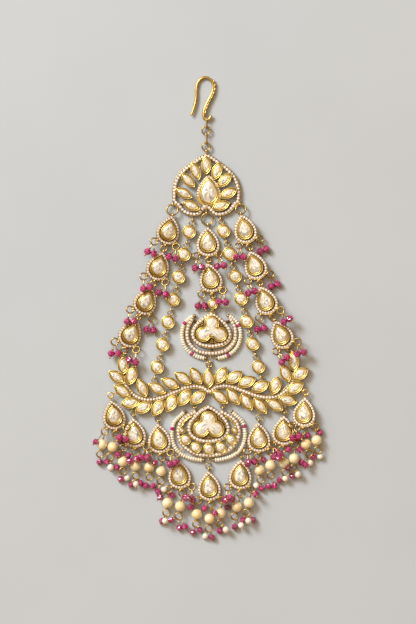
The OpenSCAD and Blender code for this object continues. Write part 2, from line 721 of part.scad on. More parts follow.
// The centre link between the centre strand and the upper medallion
module centre_link() {
    laid(gold) {
        difference() {
            translate(raised(LINK, 0)) cylinder(h = cup_t - 0.2, r = link_size);
            translate(raised(LINK, stone_floor)) cylinder(h = cup_t, r = link_size - link_wall);
        }
        lug(LINK + [0, link_size - 0.3], link_top);
        lug(LINK - [0, link_size - 0.3], link_low);
    }
}

module strand_rings(rows) {
    for (i = [0:len(rows) - 2])
        span_ring(bottom_hole(rows[i], 0), top_hole(rows[i + 1], eye_out));
}

module jump_rings() {
    laid(gold) {
        strand_rings(LEFT);
        strand_rings(RIGHT);
        strand_rings(CENTRE);
        span_ring(raised(lotus_side_eye(-1), eye_z), top_hole(LEFT[0], eye_out));
        span_ring(raised(lotus_side_eye(1), eye_z), top_hole(RIGHT[0], eye_out));
        span_ring(raised(lotus_low_eye, eye_z), top_hole(CENTRE[0], bail_out));
        span_ring(bottom_hole(LEFT[3], 0), raised(bar_top_hole(-1), eye_z));
        span_ring(bottom_hole(RIGHT[3], 0), raised(bar_top_hole(1), eye_z));
        span_ring(bottom_hole(CENTRE[1], 0), raised(link_top, eye_z));
        span_ring(raised(upper_low_eye, eye_z), raised(bar_mid_hole, eye_z));
    }
}

// The hook, and the links under it from the hook's bend down to the lotus
hook_low_z = 1.2;
function hook_height(y) = let (s = (HOOK[5].y - y) / (HOOK[5].y - HOOK[12].y)) hook_r + (hook_low_z - hook_r) * s;
hook_sides = 10;
module hook() {
    path = run(HOOK, 4);
    n = len(path);
    m = hook_sides;
    points = [for (i = [0:n - 1], k = [0:m - 1])
        let (t = along(path, i), a = 360 * k / m, z = hook_height(path[i].y))
        [path[i].x - t.y * hook_r * cos(a), path[i].y + t.x * hook_r * cos(a), z + hook_r * sin(a)]];
    walls = [for (i = [0:n - 2], k = [0:m - 1])
        [i * m + k, i * m + (k + 1) % m, (i + 1) * m + (k + 1) % m, (i + 1) * m + k]];
    ends = [[for (k = [m - 1:-1:0]) k], [for (k = [0:m - 1]) (n - 1) * m + k]];
    laid(gold) polyhedron(points, concat(walls, ends));
}

module long_link(top, low, x, r) {
    translate([x, 0, r + wire_r + 0.05])
        rotate([0, 90, 0]) {
            for (y = [top, low])
                intersection() {
                    translate([0, y, 0]) ring(r, wire_r);
                    translate([-2 * r, y == top ? y : y - 2 * r, -r]) cube([4 * r, 2 * r, 2 * r]);
                }
            for (s = [-1, 1])
                translate([s * r, low, 0]) rotate([-90, 0, 0]) cylinder(h = top - low, r = wire_r, $fn = 20);
        }
}

links_x = -0.95;
hook_bend_y = 75.6;
upper_link_r = 1.05;
lower_link_r = 0.85;
round_link_r = 1.62;
low_ring_y = lotus_top_eye.y + round_link_r + 0.1;
mid_ring_y = 71.3;
module hook_links() {
    laid(gold) {
        long_link(hook_bend_y - 0.1, mid_ring_y + round_link_r + 0.1, links_x, upper_link_r);
        translate([links_x, mid_ring_y, eye_z]) ring(round_link_r, wire_r);
        long_link(mid_ring_y - round_link_r - 0.1, low_ring_y + round_link_r + 0.1, links_x, lower_link_r);
        translate([links_x, low_ring_y, eye_z]) ring(round_link_r, wire_r);
    }
}

module ruby_drop_rings() {
    laid(gold)
        for (r = RUBY_DROPS) ruby_ring(STRANDS[r[0]][r[1]], r[2], [r[3], r[4], r[5]]);
}

module ruby_drop_beads() {
    laid(ruby)
        for (r = RUBY_DROPS) ruby_pair(STRANDS[r[0]][r[1]], r[2], [r[3], r[4], r[5]]);
}

module pearl_drop_rings() {
    laid(gold)
        for (r = PEARL_DROPS) {
            row = FRINGE[r[0]];
            d = [r[2], r[3], pearl_z];
            span_ring(bottom_hole(row, r[1]), ring_low(row, r[1], d));
            eye_pin(row, r[1], d);
        }
}

module fringe_pearls() {
    laid(cream)
        for (r = PEARL_DROPS) big_pearl(FRINGE[r[0]], r[1], [r[2], r[3], pearl_z]);
}

module inner_chain_left() { laid(gold) chain(CHAIN_L); }
module inner_chain_right() { laid(gold) chain(CHAIN_R); }

module pear_left_1() { laid(gold) pear_setting(LEFT[0], eye_out, [-1, 0, 1]); }
module pear_left_2() { laid(gold) pear_setting(LEFT[1], eye_out, [-1, 0, 1]); }
module pear_left_3() { laid(gold) pear_setting(LEFT[2], eye_out, [-1, 0, 1]); }
module pear_left_4() { laid(gold) pear_setting(LEFT[3], eye_out, [-1, 0, 1]); }
module pear_right_1() { laid(gold) pear_setting(RIGHT[0], eye_out, [-1, 0, 1]); }
module pear_right_2() { laid(gold) pear_setting(RIGHT[1], eye_out, [-1, 0, 1]); }
module pear_right_3() { laid(gold) pear_setting(RIGHT[2], eye_out, [-1, 0, 1]); }
module pear_right_4() { laid(gold) pear_setting(RIGHT[3], eye_out, [-1, 0, 1]); }
module pear_centre_1() { laid(gold) pear_setting(CENTRE[0], bail_out, [-1, 0, 1]); }
module pear_centre_2() { laid(gold) pear_setting(CENTRE[1], eye_out, [-1, 0, 1]); }
module pear_fringe_1() { laid(gold) pear_setting(FRINGE[0], bail_out, [-1, 0, 1]); }
module pear_fringe_2() { laid(gold) pear_setting(FRINGE[1], bail_out, [-1, 0, 1]); }
module pear_fringe_3() { laid(gold) pear_setting(FRINGE[2], bail_out, [-1, 0, 1]); }
module pear_fringe_4() { laid(gold) pear_setting(FRINGE[3], bail_out, [-1, 0, 1]); }
module pear_fringe_5() { laid(gold) pear_setting(FRINGE[4], bail_out, [-1, 0, 1]); }
module pear_fringe_6() { laid(gold) pear_setting(FRINGE[5], bail_out, [-1, 0, 1]); }
module pear_fringe_7() { laid(gold) pear_setting(FRINGE[6], bail_out, [-1, 0, 1]); }
module pear_fringe_8() { laid(gold) pear_setting(FRINGE[7], bail_out, [-1, 0, 1]); }
module pear_fringe_9() { laid(gold) pear_setting(FRINGE[8], bail_out, [-1, 0, 1]); }

module stone_left_1() { laid(clear) pear_stone(LEFT[0]); }
module stone_left_2() { laid(clear) pear_stone(LEFT[1]); }
module stone_left_3() { laid(clear) pear_stone(LEFT[2]); }
module stone_left_4() { laid(clear) pear_stone(LEFT[3]); }
module stone_right_1() { laid(clear) pear_stone(RIGHT[0]); }
module stone_right_2() { laid(clear) pear_stone(RIGHT[1]); }
module stone_right_3() { laid(clear) pear_stone(RIGHT[2]); }
module stone_right_4() { laid(clear) pear_stone(RIGHT[3]); }
module stone_centre_1() { laid(clear) pear_stone(CENTRE[0]); }
module stone_centre_2() { laid(clear) pear_stone(CENTRE[1]); }
module stone_fringe_1() { laid(clear) pear_stone(FRINGE[0]); }
module stone_fringe_2() { laid(clear) pear_stone(FRINGE[1]); }
module stone_fringe_3() { laid(clear) pear_stone(FRINGE[2]); }
module stone_fringe_4() { laid(clear) pear_stone(FRINGE[3]); }
module stone_fringe_5() { laid(clear) pear_stone(FRINGE[4]); }
module stone_fringe_6() { laid(clear) pear_stone(FRINGE[5]); }
module stone_fringe_7() { laid(clear) pear_stone(FRINGE[6]); }
module stone_fringe_8() { laid(clear) pear_stone(FRINGE[7]); }
module stone_fringe_9() { laid(clear) pear_stone(FRINGE[8]); }

hook();
hook_links();
lotus_frame();
lotus_centre_stone();
lotus_petal_stones();
upper_medallion_frame();
upper_medallion_stone();
lower_medallion_frame();
lower_medallion_stone();
lower_medallion_small_stones();
pearl_strings();
leaf_bar_frame();
leaf_bar_stones();
inner_chain_left();
inner_chain_right();
chain_stones();
centre_link();
jump_rings();
ruby_drop_rings();
ruby_drop_beads();
pearl_drop_rings();
fringe_pearls();
pear_left_1();
pear_left_2();
pear_left_3();
pear_left_4();
pear_right_1();
pear_right_2();
pear_right_3();
pear_right_4();
pear_centre_1();
pear_centre_2();
pear_fringe_1();
pear_fringe_2();
pear_fringe_3();
pear_fringe_4();
pear_fringe_5();
pear_fringe_6();
pear_fringe_7();
pear_fringe_8();
pear_fringe_9();
stone_left_1();
stone_left_2();
stone_left_3();
stone_left_4();
stone_right_1();
stone_right_2();
stone_right_3();
stone_right_4();
stone_centre_1();
stone_centre_2();
stone_fringe_1();
stone_fringe_2();
stone_fringe_3();
stone_fringe_4();
stone_fringe_5();
stone_fringe_6();
stone_fringe_7();
stone_fringe_8();
stone_fringe_9();
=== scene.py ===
"""Dresses a passa jhoomar headpiece that lies face up on a pale floor.

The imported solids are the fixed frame. Mounts, chains, rings of drops and big pearls stay, with better
finishes. Finer pieces stand for the stones, ruby beads, strings, jump rings and hook, and for two plates
whose tie bars are trimmed. Lengths of the piece are in millimetres on the layout that the solids were drawn
on, and Form turns them into metres.
"""

import logging
import math
import random
from collections.abc import Iterable, Sequence
from dataclasses import dataclass, field
from enum import Enum
from functools import cache

import bpy
import numpy as np
from mathutils import Matrix, Vector


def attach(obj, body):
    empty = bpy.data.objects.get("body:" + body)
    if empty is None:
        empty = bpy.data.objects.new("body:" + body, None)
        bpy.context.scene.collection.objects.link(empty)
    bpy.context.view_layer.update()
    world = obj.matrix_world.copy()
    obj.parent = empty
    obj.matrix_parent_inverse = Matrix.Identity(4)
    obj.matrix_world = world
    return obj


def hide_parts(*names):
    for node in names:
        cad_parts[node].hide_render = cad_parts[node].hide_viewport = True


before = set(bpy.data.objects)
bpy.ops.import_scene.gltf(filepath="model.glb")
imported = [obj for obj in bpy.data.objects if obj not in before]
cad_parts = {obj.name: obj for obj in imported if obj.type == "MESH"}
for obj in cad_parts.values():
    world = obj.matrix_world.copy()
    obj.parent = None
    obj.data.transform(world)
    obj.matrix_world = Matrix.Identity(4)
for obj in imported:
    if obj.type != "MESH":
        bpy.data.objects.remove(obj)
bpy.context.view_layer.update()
log = logging.getLogger("headpiece")

Points = np.ndarray
Row = tuple[float, ...]
Colour = tuple[float, float, float]

MM = 0.001
SHIFT = np.array([-0.4, -1.9, 0.0])
PIXEL = 0.4
PHOTO_MIDDLE = (208.5, 309.0)
PHOTO_SIZE = (416, 624)

# Heights of plates, halos and cups, and of a stone's floor, girdle and flat top
PLATE_TOP = 1.1
HALO_TOP = 1.6
CUP_TOP = 2.5
STONE_FLOOR = 1.33
GIRDLE = STONE_FLOOR + 1.0
TABLE = STONE_FLOOR + 1.75
# Cups: usual wall, clearance round a stone, usual number of its facets, and the groove between cup and halo
WALL = 0.55
FIT = 0.08
FACETS = 8
GROOVE_WIDTH = 0.4
# Points along the edges of cups and halos and along the paths of stone rows
CUP_STEPS = 44
LEAF_STEPS = 36
LINK_STEPS = 32
ROUND_STEPS = 24
TREFOIL_STEPS = 90
GROUND_STEPS = 120
GRANULE_STEPS = 180
HALO_STEPS = 72
ROW_STEPS = 160
LONG_ROW_STEPS = 240
# Rows of small white stones: radii of the grains, and how far the seat, painted dark as shade, reaches past
# their middles
GRAIN_RADII = (0.13, 0.18)
SEAT_MARGIN = 0.08
# How far stones, grains, granules and the grounds painted dark as shade lie over the plate that carries them
STONE_LIFT = 0.06
GRAIN_LIFT = 0.14
GRANULE_LIFT = 0.04
GROUND_LIFT = 0.02
# Radius of the solids' ruby beads, wire of the drops' rings, thickness of a seed pearl against its width
RUBY_RADIUS = 1.3
DROP_WIRE = 0.32
SEED_FLAT = 0.58

# Pears of each strand: x, y, lean in degrees, and side that it is rolled to (1 left, -1 right, 0 flat)
PEARS: dict[str, list[Row]] = {
    "left": [(-16.2, 31.5, -14, 1), (-20.2, 17.2, -17, 1), (-25.2, 3.4, -23, 1), (-31.2, -9.6, -23, 1)],
    "right": [(14.8, 32, 14, -1), (18.8, 17.6, 18, -1), (23, 3.6, 20, -1), (29.2, -10, 24, -1)],
    "centre": [(-0.2, 26.75, 0, 0), (0.8, 12.4, 8, 0)],
    "fringe": [
        (-38.1, -42.4, 9, 1), (-29.6, -49.6, 3, 0), (-19.7, -51.8, 4, 0), (-11.7, -66, 6, 0),
        (0.3, -70.8, 2, 0), (12.7, -66.2, -3, 0), (20.1, -51.4, 0, 0), (30, -48.6, -2, 0),
        (38.5, -41.3, -4, -1),
    ],
}
# Lotus: petals on its axis and on the right as x, y and turn, and the right half of its rim, both as shares
# of the plate's half width and height
PETALS: list[Row] = [
    (0, 0.81, 90), (0.3, 0.714, 70), (0.518, 0.571, 45), (0.631, 0.365, 27), (0.418, 0.167, 20),
]
RIM: list[Row] = [
    (0, 0.964), (0.15, 0.925), (0.35, 0.845), (0.589, 0.746), (0.8, 0.61), (0.9, 0.44), (0.905, 0.3),
    (0.9, 0.24), (0.79, 0.19), (0.667, 0.103), (0.532, 0.055), (0.355, 0.036), (0.241, 0.05),
    (0.12, 0.115), (0, 0.183),
]
# Halos of the medallions: x, y, width, length
UPPER: Row = (1.1, -8.45, 16.2, 14.3)
LOWER: Row = (0, -46, 17, 15.2)
# Middles and radii of the trefoils' lobes
UPPER_LOBES: list[Row] = [(0, 0), (0.2, 2.9), (-3.2, -1.7), (3.4, -1.7)]
LOWER_LOBES: list[Row] = [(0, 0), (0, 2), (-3, -1.9), (3, -1.9)]
UPPER_LOBE = 2.9
LOWER_LOBE = 3.2
# Half of each crescent and of each string of seed pearls, as offsets from its halo's middle
UPPER_CRESCENT: list[Row] = [
    (-7.6, 4.6), (-9.2, 1.6), (-9.7, -1.6), (-8.9, -5), (-6.3, -7.8), (-3, -9), (0, -9.3),
]
LOWER_CRESCENT: list[Row] = [
    (-5, 5), (-8.6, 3.2), (-11, 0.9), (-12.1, -2.2), (-11.8, -5.4), (-10.2, -8.4), (-7, -11),
    (-3.4, -12.2), (0, -12.5),
]
UPPER_STRING: list[Row] = [
    (-6.3, 6.0), (-8.6, 4.7), (-10.6, 2.6), (-11.6, -0.2), (-11.6, -3.2), (-10.7, -6.2), (-8.9, -8.5),
    (-6.5, -10.1), (-4.0, -11.0), (-1.6, -11.3),
]
LOWER_STRING: list[Row] = [
    (-9, 5.4), (-11.5, 3), (-13.7, 0.7), (-14.5, -2.6), (-14.5, -6), (-13.3, -9.4), (-10.9, -12),
    (-7.6, -13.5), (-4.4, -14.2), (-1.5, -14.4),
]
# Small round cups inside the lower crescent: x, y, radius
ROUNDS: list[Row] = [
    (-10.5, -2.6, 1.2), (-9.1, -6.2, 2.1), (-5, -9.3, 2.2), (0, -9.9, 2.2),
    (5, -9.3, 2.2), (9.1, -6.2, 2.1), (10.5, -2.6, 1.2),
]
# Right one of the twisted wires above the lower crescent, as offsets from the halo's middle
ROPE: list[Row] = [(6.6, 3.2), (9.0, 1.6), (10.4, -0.4), (10.9, -1.2)]
# Garland: leaf cups of its right half and at its top: x, y, turn of the long axis; right half of its stem
GARLAND: list[Row] = [
    (34, -21.6, 90), (36.6, -26.5, 37), (30.7, -26, 108), (26.6, -31, 68), (20.6, -31.3, 27),
    (15.3, -29.3, 24), (10.2, -27.4, 34), (5, -26.6, 58), (34.5, -32.1, 34), (31.4, -36.9, -11),
    (26.1, -38.8, -30), (20.4, -39, -52), (15, -37.3, -59), (9.7, -35.2, -52), (4.4, -35.2, -40),
]
TOP_LEAF: Row = (0, -27.6, 90)
STEM: list[Row] = [
    (0, -33.4), (2.3, -31.5), (5.5, -30.8), (9.1, -31.2), (13.1, -32.7), (17.1, -34.3),
    (21.1, -35.5), (25.1, -35.7), (28.7, -34.6), (31.6, -32.2), (33.4, -29.4), (33.8, -26),
]
# Inner chains: first joint x, y, and last joint x, y
CHAINS: dict[str, Row] = {"left": (-6.5, 35.6, -21.4, -27.4), "right": (4.8, 36, 21, -27.2)}
# Middle line of the hook, from its tip over its top
HOOK: list[Row] = [
    (-6.9, 77.4), (-5.6, 81), (-4.9, 84.6), (-4.8, 88), (-4, 90.9), (-1.9, 92.5),
    (0.5, 91.9), (1.9, 89.6), (1.4, 86.2), (-0.4, 82.6), (-1.7, 79.4), (-1.9, 76.9),
    (-1, 75.6), (0.2, 75.9), (1, 76.9),
]
# Pixels of the photograph near which the strings of seed pearls carry a ruby bead or a gilt spacer
STRING_RUBIES: list[Row] = [
    (184, 323), (192, 353.5), (227.5, 356), (238.5, 326.5), (172.7, 428.5), (193.5, 457.5), (224.5, 457.5),
    (243.5, 426.5),
]
STRING_SPACERS: list[Row] = [(179.5, 340), (242, 339)]

# Smallest length that is divided by, the matrix that leaves a piece where it is, and the way up
TINY = 1e-9
FLAT = np.eye(4)
UP: Row = (0, 0, 1)


def pixel(u: float, v: float) -> Points:
    """A place on the layout from a place on the photograph."""
    return np.array([(u - PHOTO_MIDDLE[0]) * PIXEL, (PHOTO_MIDDLE[1] - v) * PIXEL])


def toward(angle: float) -> Points:
    """The plan direction at an angle in degrees."""
    return np.array([math.cos(math.radians(angle)), math.sin(math.radians(angle))])


def raised(plan: Points, z: float) -> Points:
    """Plan points lifted to a height."""
    plan = np.atleast_2d(plan)[:, :2]
    return np.column_stack([plan, np.full(len(plan), z)])


def moved(points: Points, place: Points) -> Points:
    """Points brought where a placing matrix puts them."""
    return points @ place[:3, :3].T + place[:3, 3]


def mirrored(run: Points, middle: float) -> Points:
    """The mirror image of a plan run about the line x = middle, run the other way."""
    return (run * [-1, 1] + [2 * middle, 0])[::-1]


def unit_circle(count: int, phase: float = 0.0) -> Points:
    """Points of the circle of radius 1, the first one turned from +X by a share of a step."""
    t = 2 * np.pi * (np.arange(count) + phase) / count
    return np.column_stack([np.cos(t), np.sin(t)])


def left_of(ways: Points) -> Points:
    """Plan directions turned a quarter to the left."""
    return np.column_stack([-ways[:, 1], ways[:, 0]])


def ways_along(path: Points, closed: bool = False) -> Points:
    """The direction of a path at each of its points."""
    gaps = np.roll(path, -1, 0) - np.roll(path, 1, 0) if closed else np.gradient(path, axis=0)
    return gaps / np.maximum(np.linalg.norm(gaps, axis=1), TINY)[:, None]


def turned(plan: Points, angle: float) -> Points:
    """Plan points turned about the origin by an angle in degrees."""
    c, s = toward(angle)
    return np.atleast_2d(plan)[:, :2] @ np.array([[c, s], [-s, c]])


def smooth_run(knots: Sequence[Row], count: int) -> Points:
    """A smooth run through listed points.

    Args:
        knots: The points that the run passes through.
        count: Steps between two of them.

    Returns:
        The points of the run, in order.
    """
    p = np.array(knots, float)
    padded = np.vstack([p[0], p, p[-1]])
    out = []
    for a, b, c, d in zip(padded, padded[1:], padded[2:], padded[3:]):
        for t in np.arange(count) / count:
            out.append(0.5 * (2 * b + (c - a) * t + (2 * a - 5 * b + 4 * c - d) * t**2
                              + (3 * b - a - 3 * c + d) * t**3))
    return np.array(out + [p[-1]])


def shifted(knots: Sequence[Row], by: Row) -> list[Row]:
    """Listed points moved by the first two numbers of a row."""
    return [(x + by[0], y + by[1]) for x, y in knots]


def spaced(path: Points, pitch: float, closed: bool = False, inset: float = 0.0) -> tuple[Points, Points]:
    """Places at an even pitch along a path.

    Args:
        path: Points of the path, in two or three dimensions.
        pitch: The wished distance between two places, which is fitted to the length.
        closed: Whether the path runs back to its start.
        inset: Length left free at both ends of an open path.

    Returns:
        The places and the directions of the path there.
    """
    p = np.vstack([path, path[:1]]) if closed else np.asarray(path)
    reach = np.concatenate([[0], np.cumsum(np.linalg.norm(np.diff(p, axis=0), axis=1))])
    length = reach[-1] - 2 * inset
    count = max(1, round(length / pitch))
    where = inset + (np.arange(count) * length / count if closed else np.linspace(0, length, count + 1))

    def at(s: Points) -> Points:
        """The path's points at lengths along it."""
        return np.column_stack([np.interp(s, reach, p[:, k]) for k in range(p.shape[1])])

    step = 0.02 * pitch
    ahead, behind = at(np.minimum(where + step, reach[-1])), at(np.maximum(where - step, 0))
    return at(where), (ahead - behind) / np.linalg.norm(ahead - behind, axis=1)[:, None]


def basis(axis: Sequence[float], at: Sequence[float] = (0, 0, 0), turn: float = 0.0,
          size: float = 1.0) -> Points:
    """A placing matrix whose third axis is a given direction.

    Args:
        axis: Direction that local +Z takes.
        at: Where the local origin goes.
        turn: Turn about the axis, in degrees.
        size: Uniform scale.

    Returns:
        A 4 by 4 matrix.
    """
    z = np.array(axis, float) / np.linalg.norm(axis)
    side = np.array([0, 0, 1.0]) if abs(z[2]) < 0.95 else np.array([0, 1.0, 0])
    x = np.cross(side, z)
    x /= np.linalg.norm(x)
    y = np.cross(z, x)
    c, s = toward(turn)
    out = np.eye(4)
    out[:3, :3] = np.column_stack([c * x + s * y, c * y - s * x, z]) * size
    out[:3, 3] = at
    return out


def placed(at: Row) -> Points:
    """The matrix of a flat piece: x, y and, where given, turn in degrees."""
    return basis(UP, (at[0], at[1], 0), at[2] if len(at) > 2 else 0.0)


def linked(name: str, data: bpy.types.ID) -> bpy.types.Object:
    """A new object in the scene."""
    made = bpy.data.objects.new(name, data)
    bpy.context.scene.collection.objects.link(made)
    return made


class Tint(Enum):
    """What a vertex channel says: painted facet light and tone, painted recess shade and gilt glint, and
    chance.
    """

    # Painted light on the facets of stones and beads, and random tone on gilt and pearls
    BRIGHT = "Red"
    # Recess depth: painted shade with patina on gilt, and a painted reflection of the gilt on stones
    DEEP = "Green"
    CHANCE = "Blue"


@dataclass
class Cell:
    """A small shape that is repeated many times.

    Attributes:
        points: Its points about its own origin.
        faces: Its faces as tuples of point numbers.
        smooth: Whether its faces are shaded as one curved skin.
    """

    points: Points
    faces: list[tuple[int, ...]]
    smooth: bool = True


@dataclass
class Form:
    """A mesh under construction, in millimetres on the layout.

    Attributes:
        seed: Start of the chance values of its facets and repeats.
    """

    seed: int = 1
    points: list[Points] = field(default_factory=list)
    faces: list[tuple[int, ...]] = field(default_factory=list)
    slots: list[int] = field(default_factory=list)
    soft: list[bool] = field(default_factory=list)
    tints: list[Points] = field(default_factory=list)
    count: int = 0

    def __post_init__(self) -> None:
        """Starts the chance values."""
        self.chance = random.Random(self.seed)

    def add(self, points: Points, faces: Iterable[tuple[int, ...]], slot: int = 0, smooth: bool = True,
            bright: float = 1.0, deep: Points | float = 0.0, scatter: float = 0.0) -> None:
        """Adds a shape.

        Args:
            points: Its points.
            faces: Its faces as tuples of its own point numbers.
            slot: Material slot of its faces.
            smooth: Whether its faces are shaded as one curved skin.
            bright: Brightness its faces carry: painted facet light on stones and beads, tone on gilt and
                pearls.
            deep: Recess depth, one value or one for each point, that paints shade on gilt and a gilt glint
                on stones.
            scatter: How much the brightness changes from face to face.
        """
        points = np.asarray(points, float)
        depth = np.broadcast_to(np.asarray(deep, float), (len(points),))
        for f in faces:
            level = bright * (1 - scatter * self.chance.random())
            self.faces.append(tuple(i + self.count for i in f))
            self.slots.append(slot)
            self.soft.append(smooth)
            self.tints.append(np.column_stack([np.full(len(f), level), depth[list(f)],
                                               np.full(len(f), self.chance.random()), np.ones(len(f))]))
        self.points.append(points)
        self.count += len(points)

    def repeat(self, cell: Cell, places: Iterable[Points], slot: int = 0, bright: float = 1.0,
               deep: float = 0.0, scatter: float = 0.0, spread: float = 0.0) -> None:
        """Adds a cell at each placing matrix.

        Args:
            cell: The shape.
            places: Placing matrices.
            slot: Material slot.
            bright: Brightness that the faces carry.
            deep: How far the cells lie in a recess, which sets their painted shade.
            scatter: How much the brightness changes from face to face.
            spread: How much it changes from cell to cell.
        """
        for m in places:
            level = bright * (1 - spread * self.chance.random())
            self.add(moved(cell.points, m), cell.faces, slot, cell.smooth, level, deep, scatter)

    def stack(self, rings: Sequence[Points], slot: int = 0, smooth: bool = True,
              deep: Sequence[float] | None = None, closed: bool = True, capped: bool = False,
              bright: float = 1.0, scatter: float = 0.0) -> None:
        """Joins rings of points of one length into a skin.

        Args:
            rings: The rings, in order, each run the same way round.
            slot: Material slot.
            smooth: Whether the skin is shaded as curved.
            deep: One recess value for each ring, which paints shade on gilt and a gilt glint on stones.
            closed: Whether each ring is closed.
            capped: Whether the first and the last ring get caps.
            bright: Brightness that the faces carry.
            scatter: How much the brightness changes from face to face.
        """
        n = len(rings[0])
        span = n if closed else n - 1
        faces: list[tuple[int, ...]] = [
            (k * n + i, k * n + (i + 1) % n, (k + 1) * n + (i + 1) % n, (k + 1) * n + i)
            for k in range(len(rings) - 1) for i in range(span)
        ]
        if capped:
            last = (len(rings) - 1) * n
            faces += [tuple(reversed(range(n))), tuple(range(last, last + n))]
        levels = np.repeat(deep if deep is not None else np.zeros(len(rings)), n)
        self.add(np.vstack(rings), faces, slot, smooth, bright, levels, scatter)

    def tube(self, path: Points, radius: float | Points, sides: int = 8, slot: int = 0, closed: bool = False,
             deep: float = 0.0, twist: float = 0.0, lobes: int = 0, lobe: float = 0.0) -> None:
        """Sweeps a wire along a path.

        Args:
            path: Points in three dimensions.
            radius: The wire's radius, one value or one for each point.
            sides: Sides of the wire.
            slot: Material slot.
            closed: Whether the path runs back to its start.
            deep: How far the wire lies in a recess, which sets its painted shade.
            twist: Turn of the section from point to point, in degrees.
            lobes: Number of strands that show on a twisted wire.
            lobe: How much they stand out, as a share of the radius.
        """
        path = np.asarray(path, float)
        way = ways_along(path, closed)
        radii = np.broadcast_to(np.asarray(radius, float), (len(path),))
        up = np.array([0, 0, 1.0]) if abs(way[0][2]) < 0.9 else np.array([1.0, 0, 0])
        rings = []
        for k, (p, w) in enumerate(zip(path, way)):
            up = up - w * (up @ w)
            up /= np.linalg.norm(up)
            side = np.cross(up, w)
            a = np.radians(360 * np.arange(sides) / sides + twist * k)
            shape = 1 + lobe * np.cos(lobes * (a - math.radians(2 * twist * k)))
            section = np.cos(a)[:, None] * side + np.sin(a)[:, None] * up
            rings.append(p + radii[k] * shape[:, None] * section)
        if closed:
            rings.append(rings[0])
        self.stack(rings, slot, deep=[deep] * len(rings), capped=not closed)

    def ring(self, at: Sequence[float], axis: Sequence[float], radius: float, wire: float, slot: int = 0,
             sides: int = 8, steps: int = 26, deep: float = 0.0) -> None:
        """Adds a round ring of wire about an axis.

        Args:
            at: Its middle.
            axis: Its axis.
            radius: Its radius.
            wire: Radius of its wire.
            slot: Material slot.
            sides: Sides of the wire.
            steps: Steps round the ring.
            deep: How far it lies in a recess, which sets its painted shade.
        """
        path = moved(raised(radius * unit_circle(steps), 0), basis(axis, at))
        self.tube(path, wire, sides, slot, True, deep)

    def rim(self, outline: "Outline", profile: "Profile", top: float, place: Points = FLAT,
            count: int = CUP_STEPS, slot: int = 1) -> None:
        """Adds a closed rim along an outline.

        Args:
            outline: The outline.
            profile: Growth, height and depth of each ring of the rim's section.
            top: Height that the profile's heights count from.
            place: Matrix that puts the outline on the layout.
            count: Points along the outline.
            slot: Material slot.
        """
        rings = [moved(raised(outline.points(grow, count), top + z), place) for grow, z, _ in profile]
        self.stack(rings, slot, deep=[depth for _, _, depth in profile])

    def make(self, name: str, finishes: Sequence["Finish"], slot: "Slot",
             replaces: Sequence[str] = ()) -> None:
        """Makes the object, finishes it and lets it ride on the root body.

        Args:
            name: Name of the piece.
            finishes: Finish of each slot.
            slot: The record's slot; not used.
            replaces: CAD nodes that it stands for.
        """
        mesh = bpy.data.meshes.new(name)
        world = (np.vstack(self.points) + SHIFT) * MM
        mesh.from_pydata(world.tolist(), [], self.faces)
        mesh.polygons.foreach_set("material_index", self.slots)
        mesh.polygons.foreach_set("use_smooth", self.soft)
        tint = mesh.color_attributes.new(TINT_LAYER, "FLOAT_COLOR", "CORNER")
        tint.data.foreach_set("color", np.vstack(self.tints).astype(np.float32).ravel())
        mesh.update()
        for finish in finishes:
            mesh.materials.append(finish.material())
        piece = linked(name, mesh)
        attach(piece, "root")
        if replaces:
            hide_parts(*replaces)
        log.info("%s: %d faces", name, len(mesh.polygons))


TINT_LAYER = "tint"
# Numbers of the colour sockets of a Mix node, whose names they share with others
MIX_FACTOR, MIX_A, MIX_B, MIX_RESULT = 0, 6, 7, 2


class Signal:
    """A number or colour in a shader, with Python's operators standing for Math nodes."""

    def __init__(self, graph: "Graph", socket: bpy.types.NodeSocket) -> None:
        """Wraps an output socket of a graph."""
        self.graph = graph
        self.socket = socket

    def math(self, operation: str, *others: "Signal | float", swap: bool = False,
             clamp: bool = False) -> "Signal":
        """Adds a Math node.

        Args:
            operation: The node's operation.
            others: Its further inputs.
            swap: Whether this signal is the second input instead of the first.
            clamp: Whether the result is held between 0 and 1.

        Returns:
            The result.
        """
        values = [*others, self] if swap else [self, *others]
        return self.graph.node("ShaderNodeMath", {"operation": operation, "use_clamp": clamp},
                               dict(enumerate(values)))

    def __add__(self, other: "Signal | float") -> "Signal":
        """Sum."""
        return self.math("ADD", other)

    __radd__ = __add__

    def __sub__(self, other: "Signal | float") -> "Signal":
        """Difference."""
        return self.math("SUBTRACT", other)

    def __rsub__(self, other: float) -> "Signal":
        """Difference from a number."""
        return self.math("SUBTRACT", other, swap=True)

    def __mul__(self, other: "Signal | float") -> "Signal":
        """Product."""
        return self.math("MULTIPLY", other)

    __rmul__ = __mul__

    def held(self) -> "Signal":
        """This value held between 0 and 1."""
        return self.math("ADD", 0.0, clamp=True)

    def step(self, low: float, high: float) -> "Signal":
        """A smooth step from 0 at low to 1 at high."""
        return self.graph.node("ShaderNodeMapRange", {"interpolation_type": "SMOOTHSTEP"},
                               {"Value": self, "From Min": low, "From Max": high})


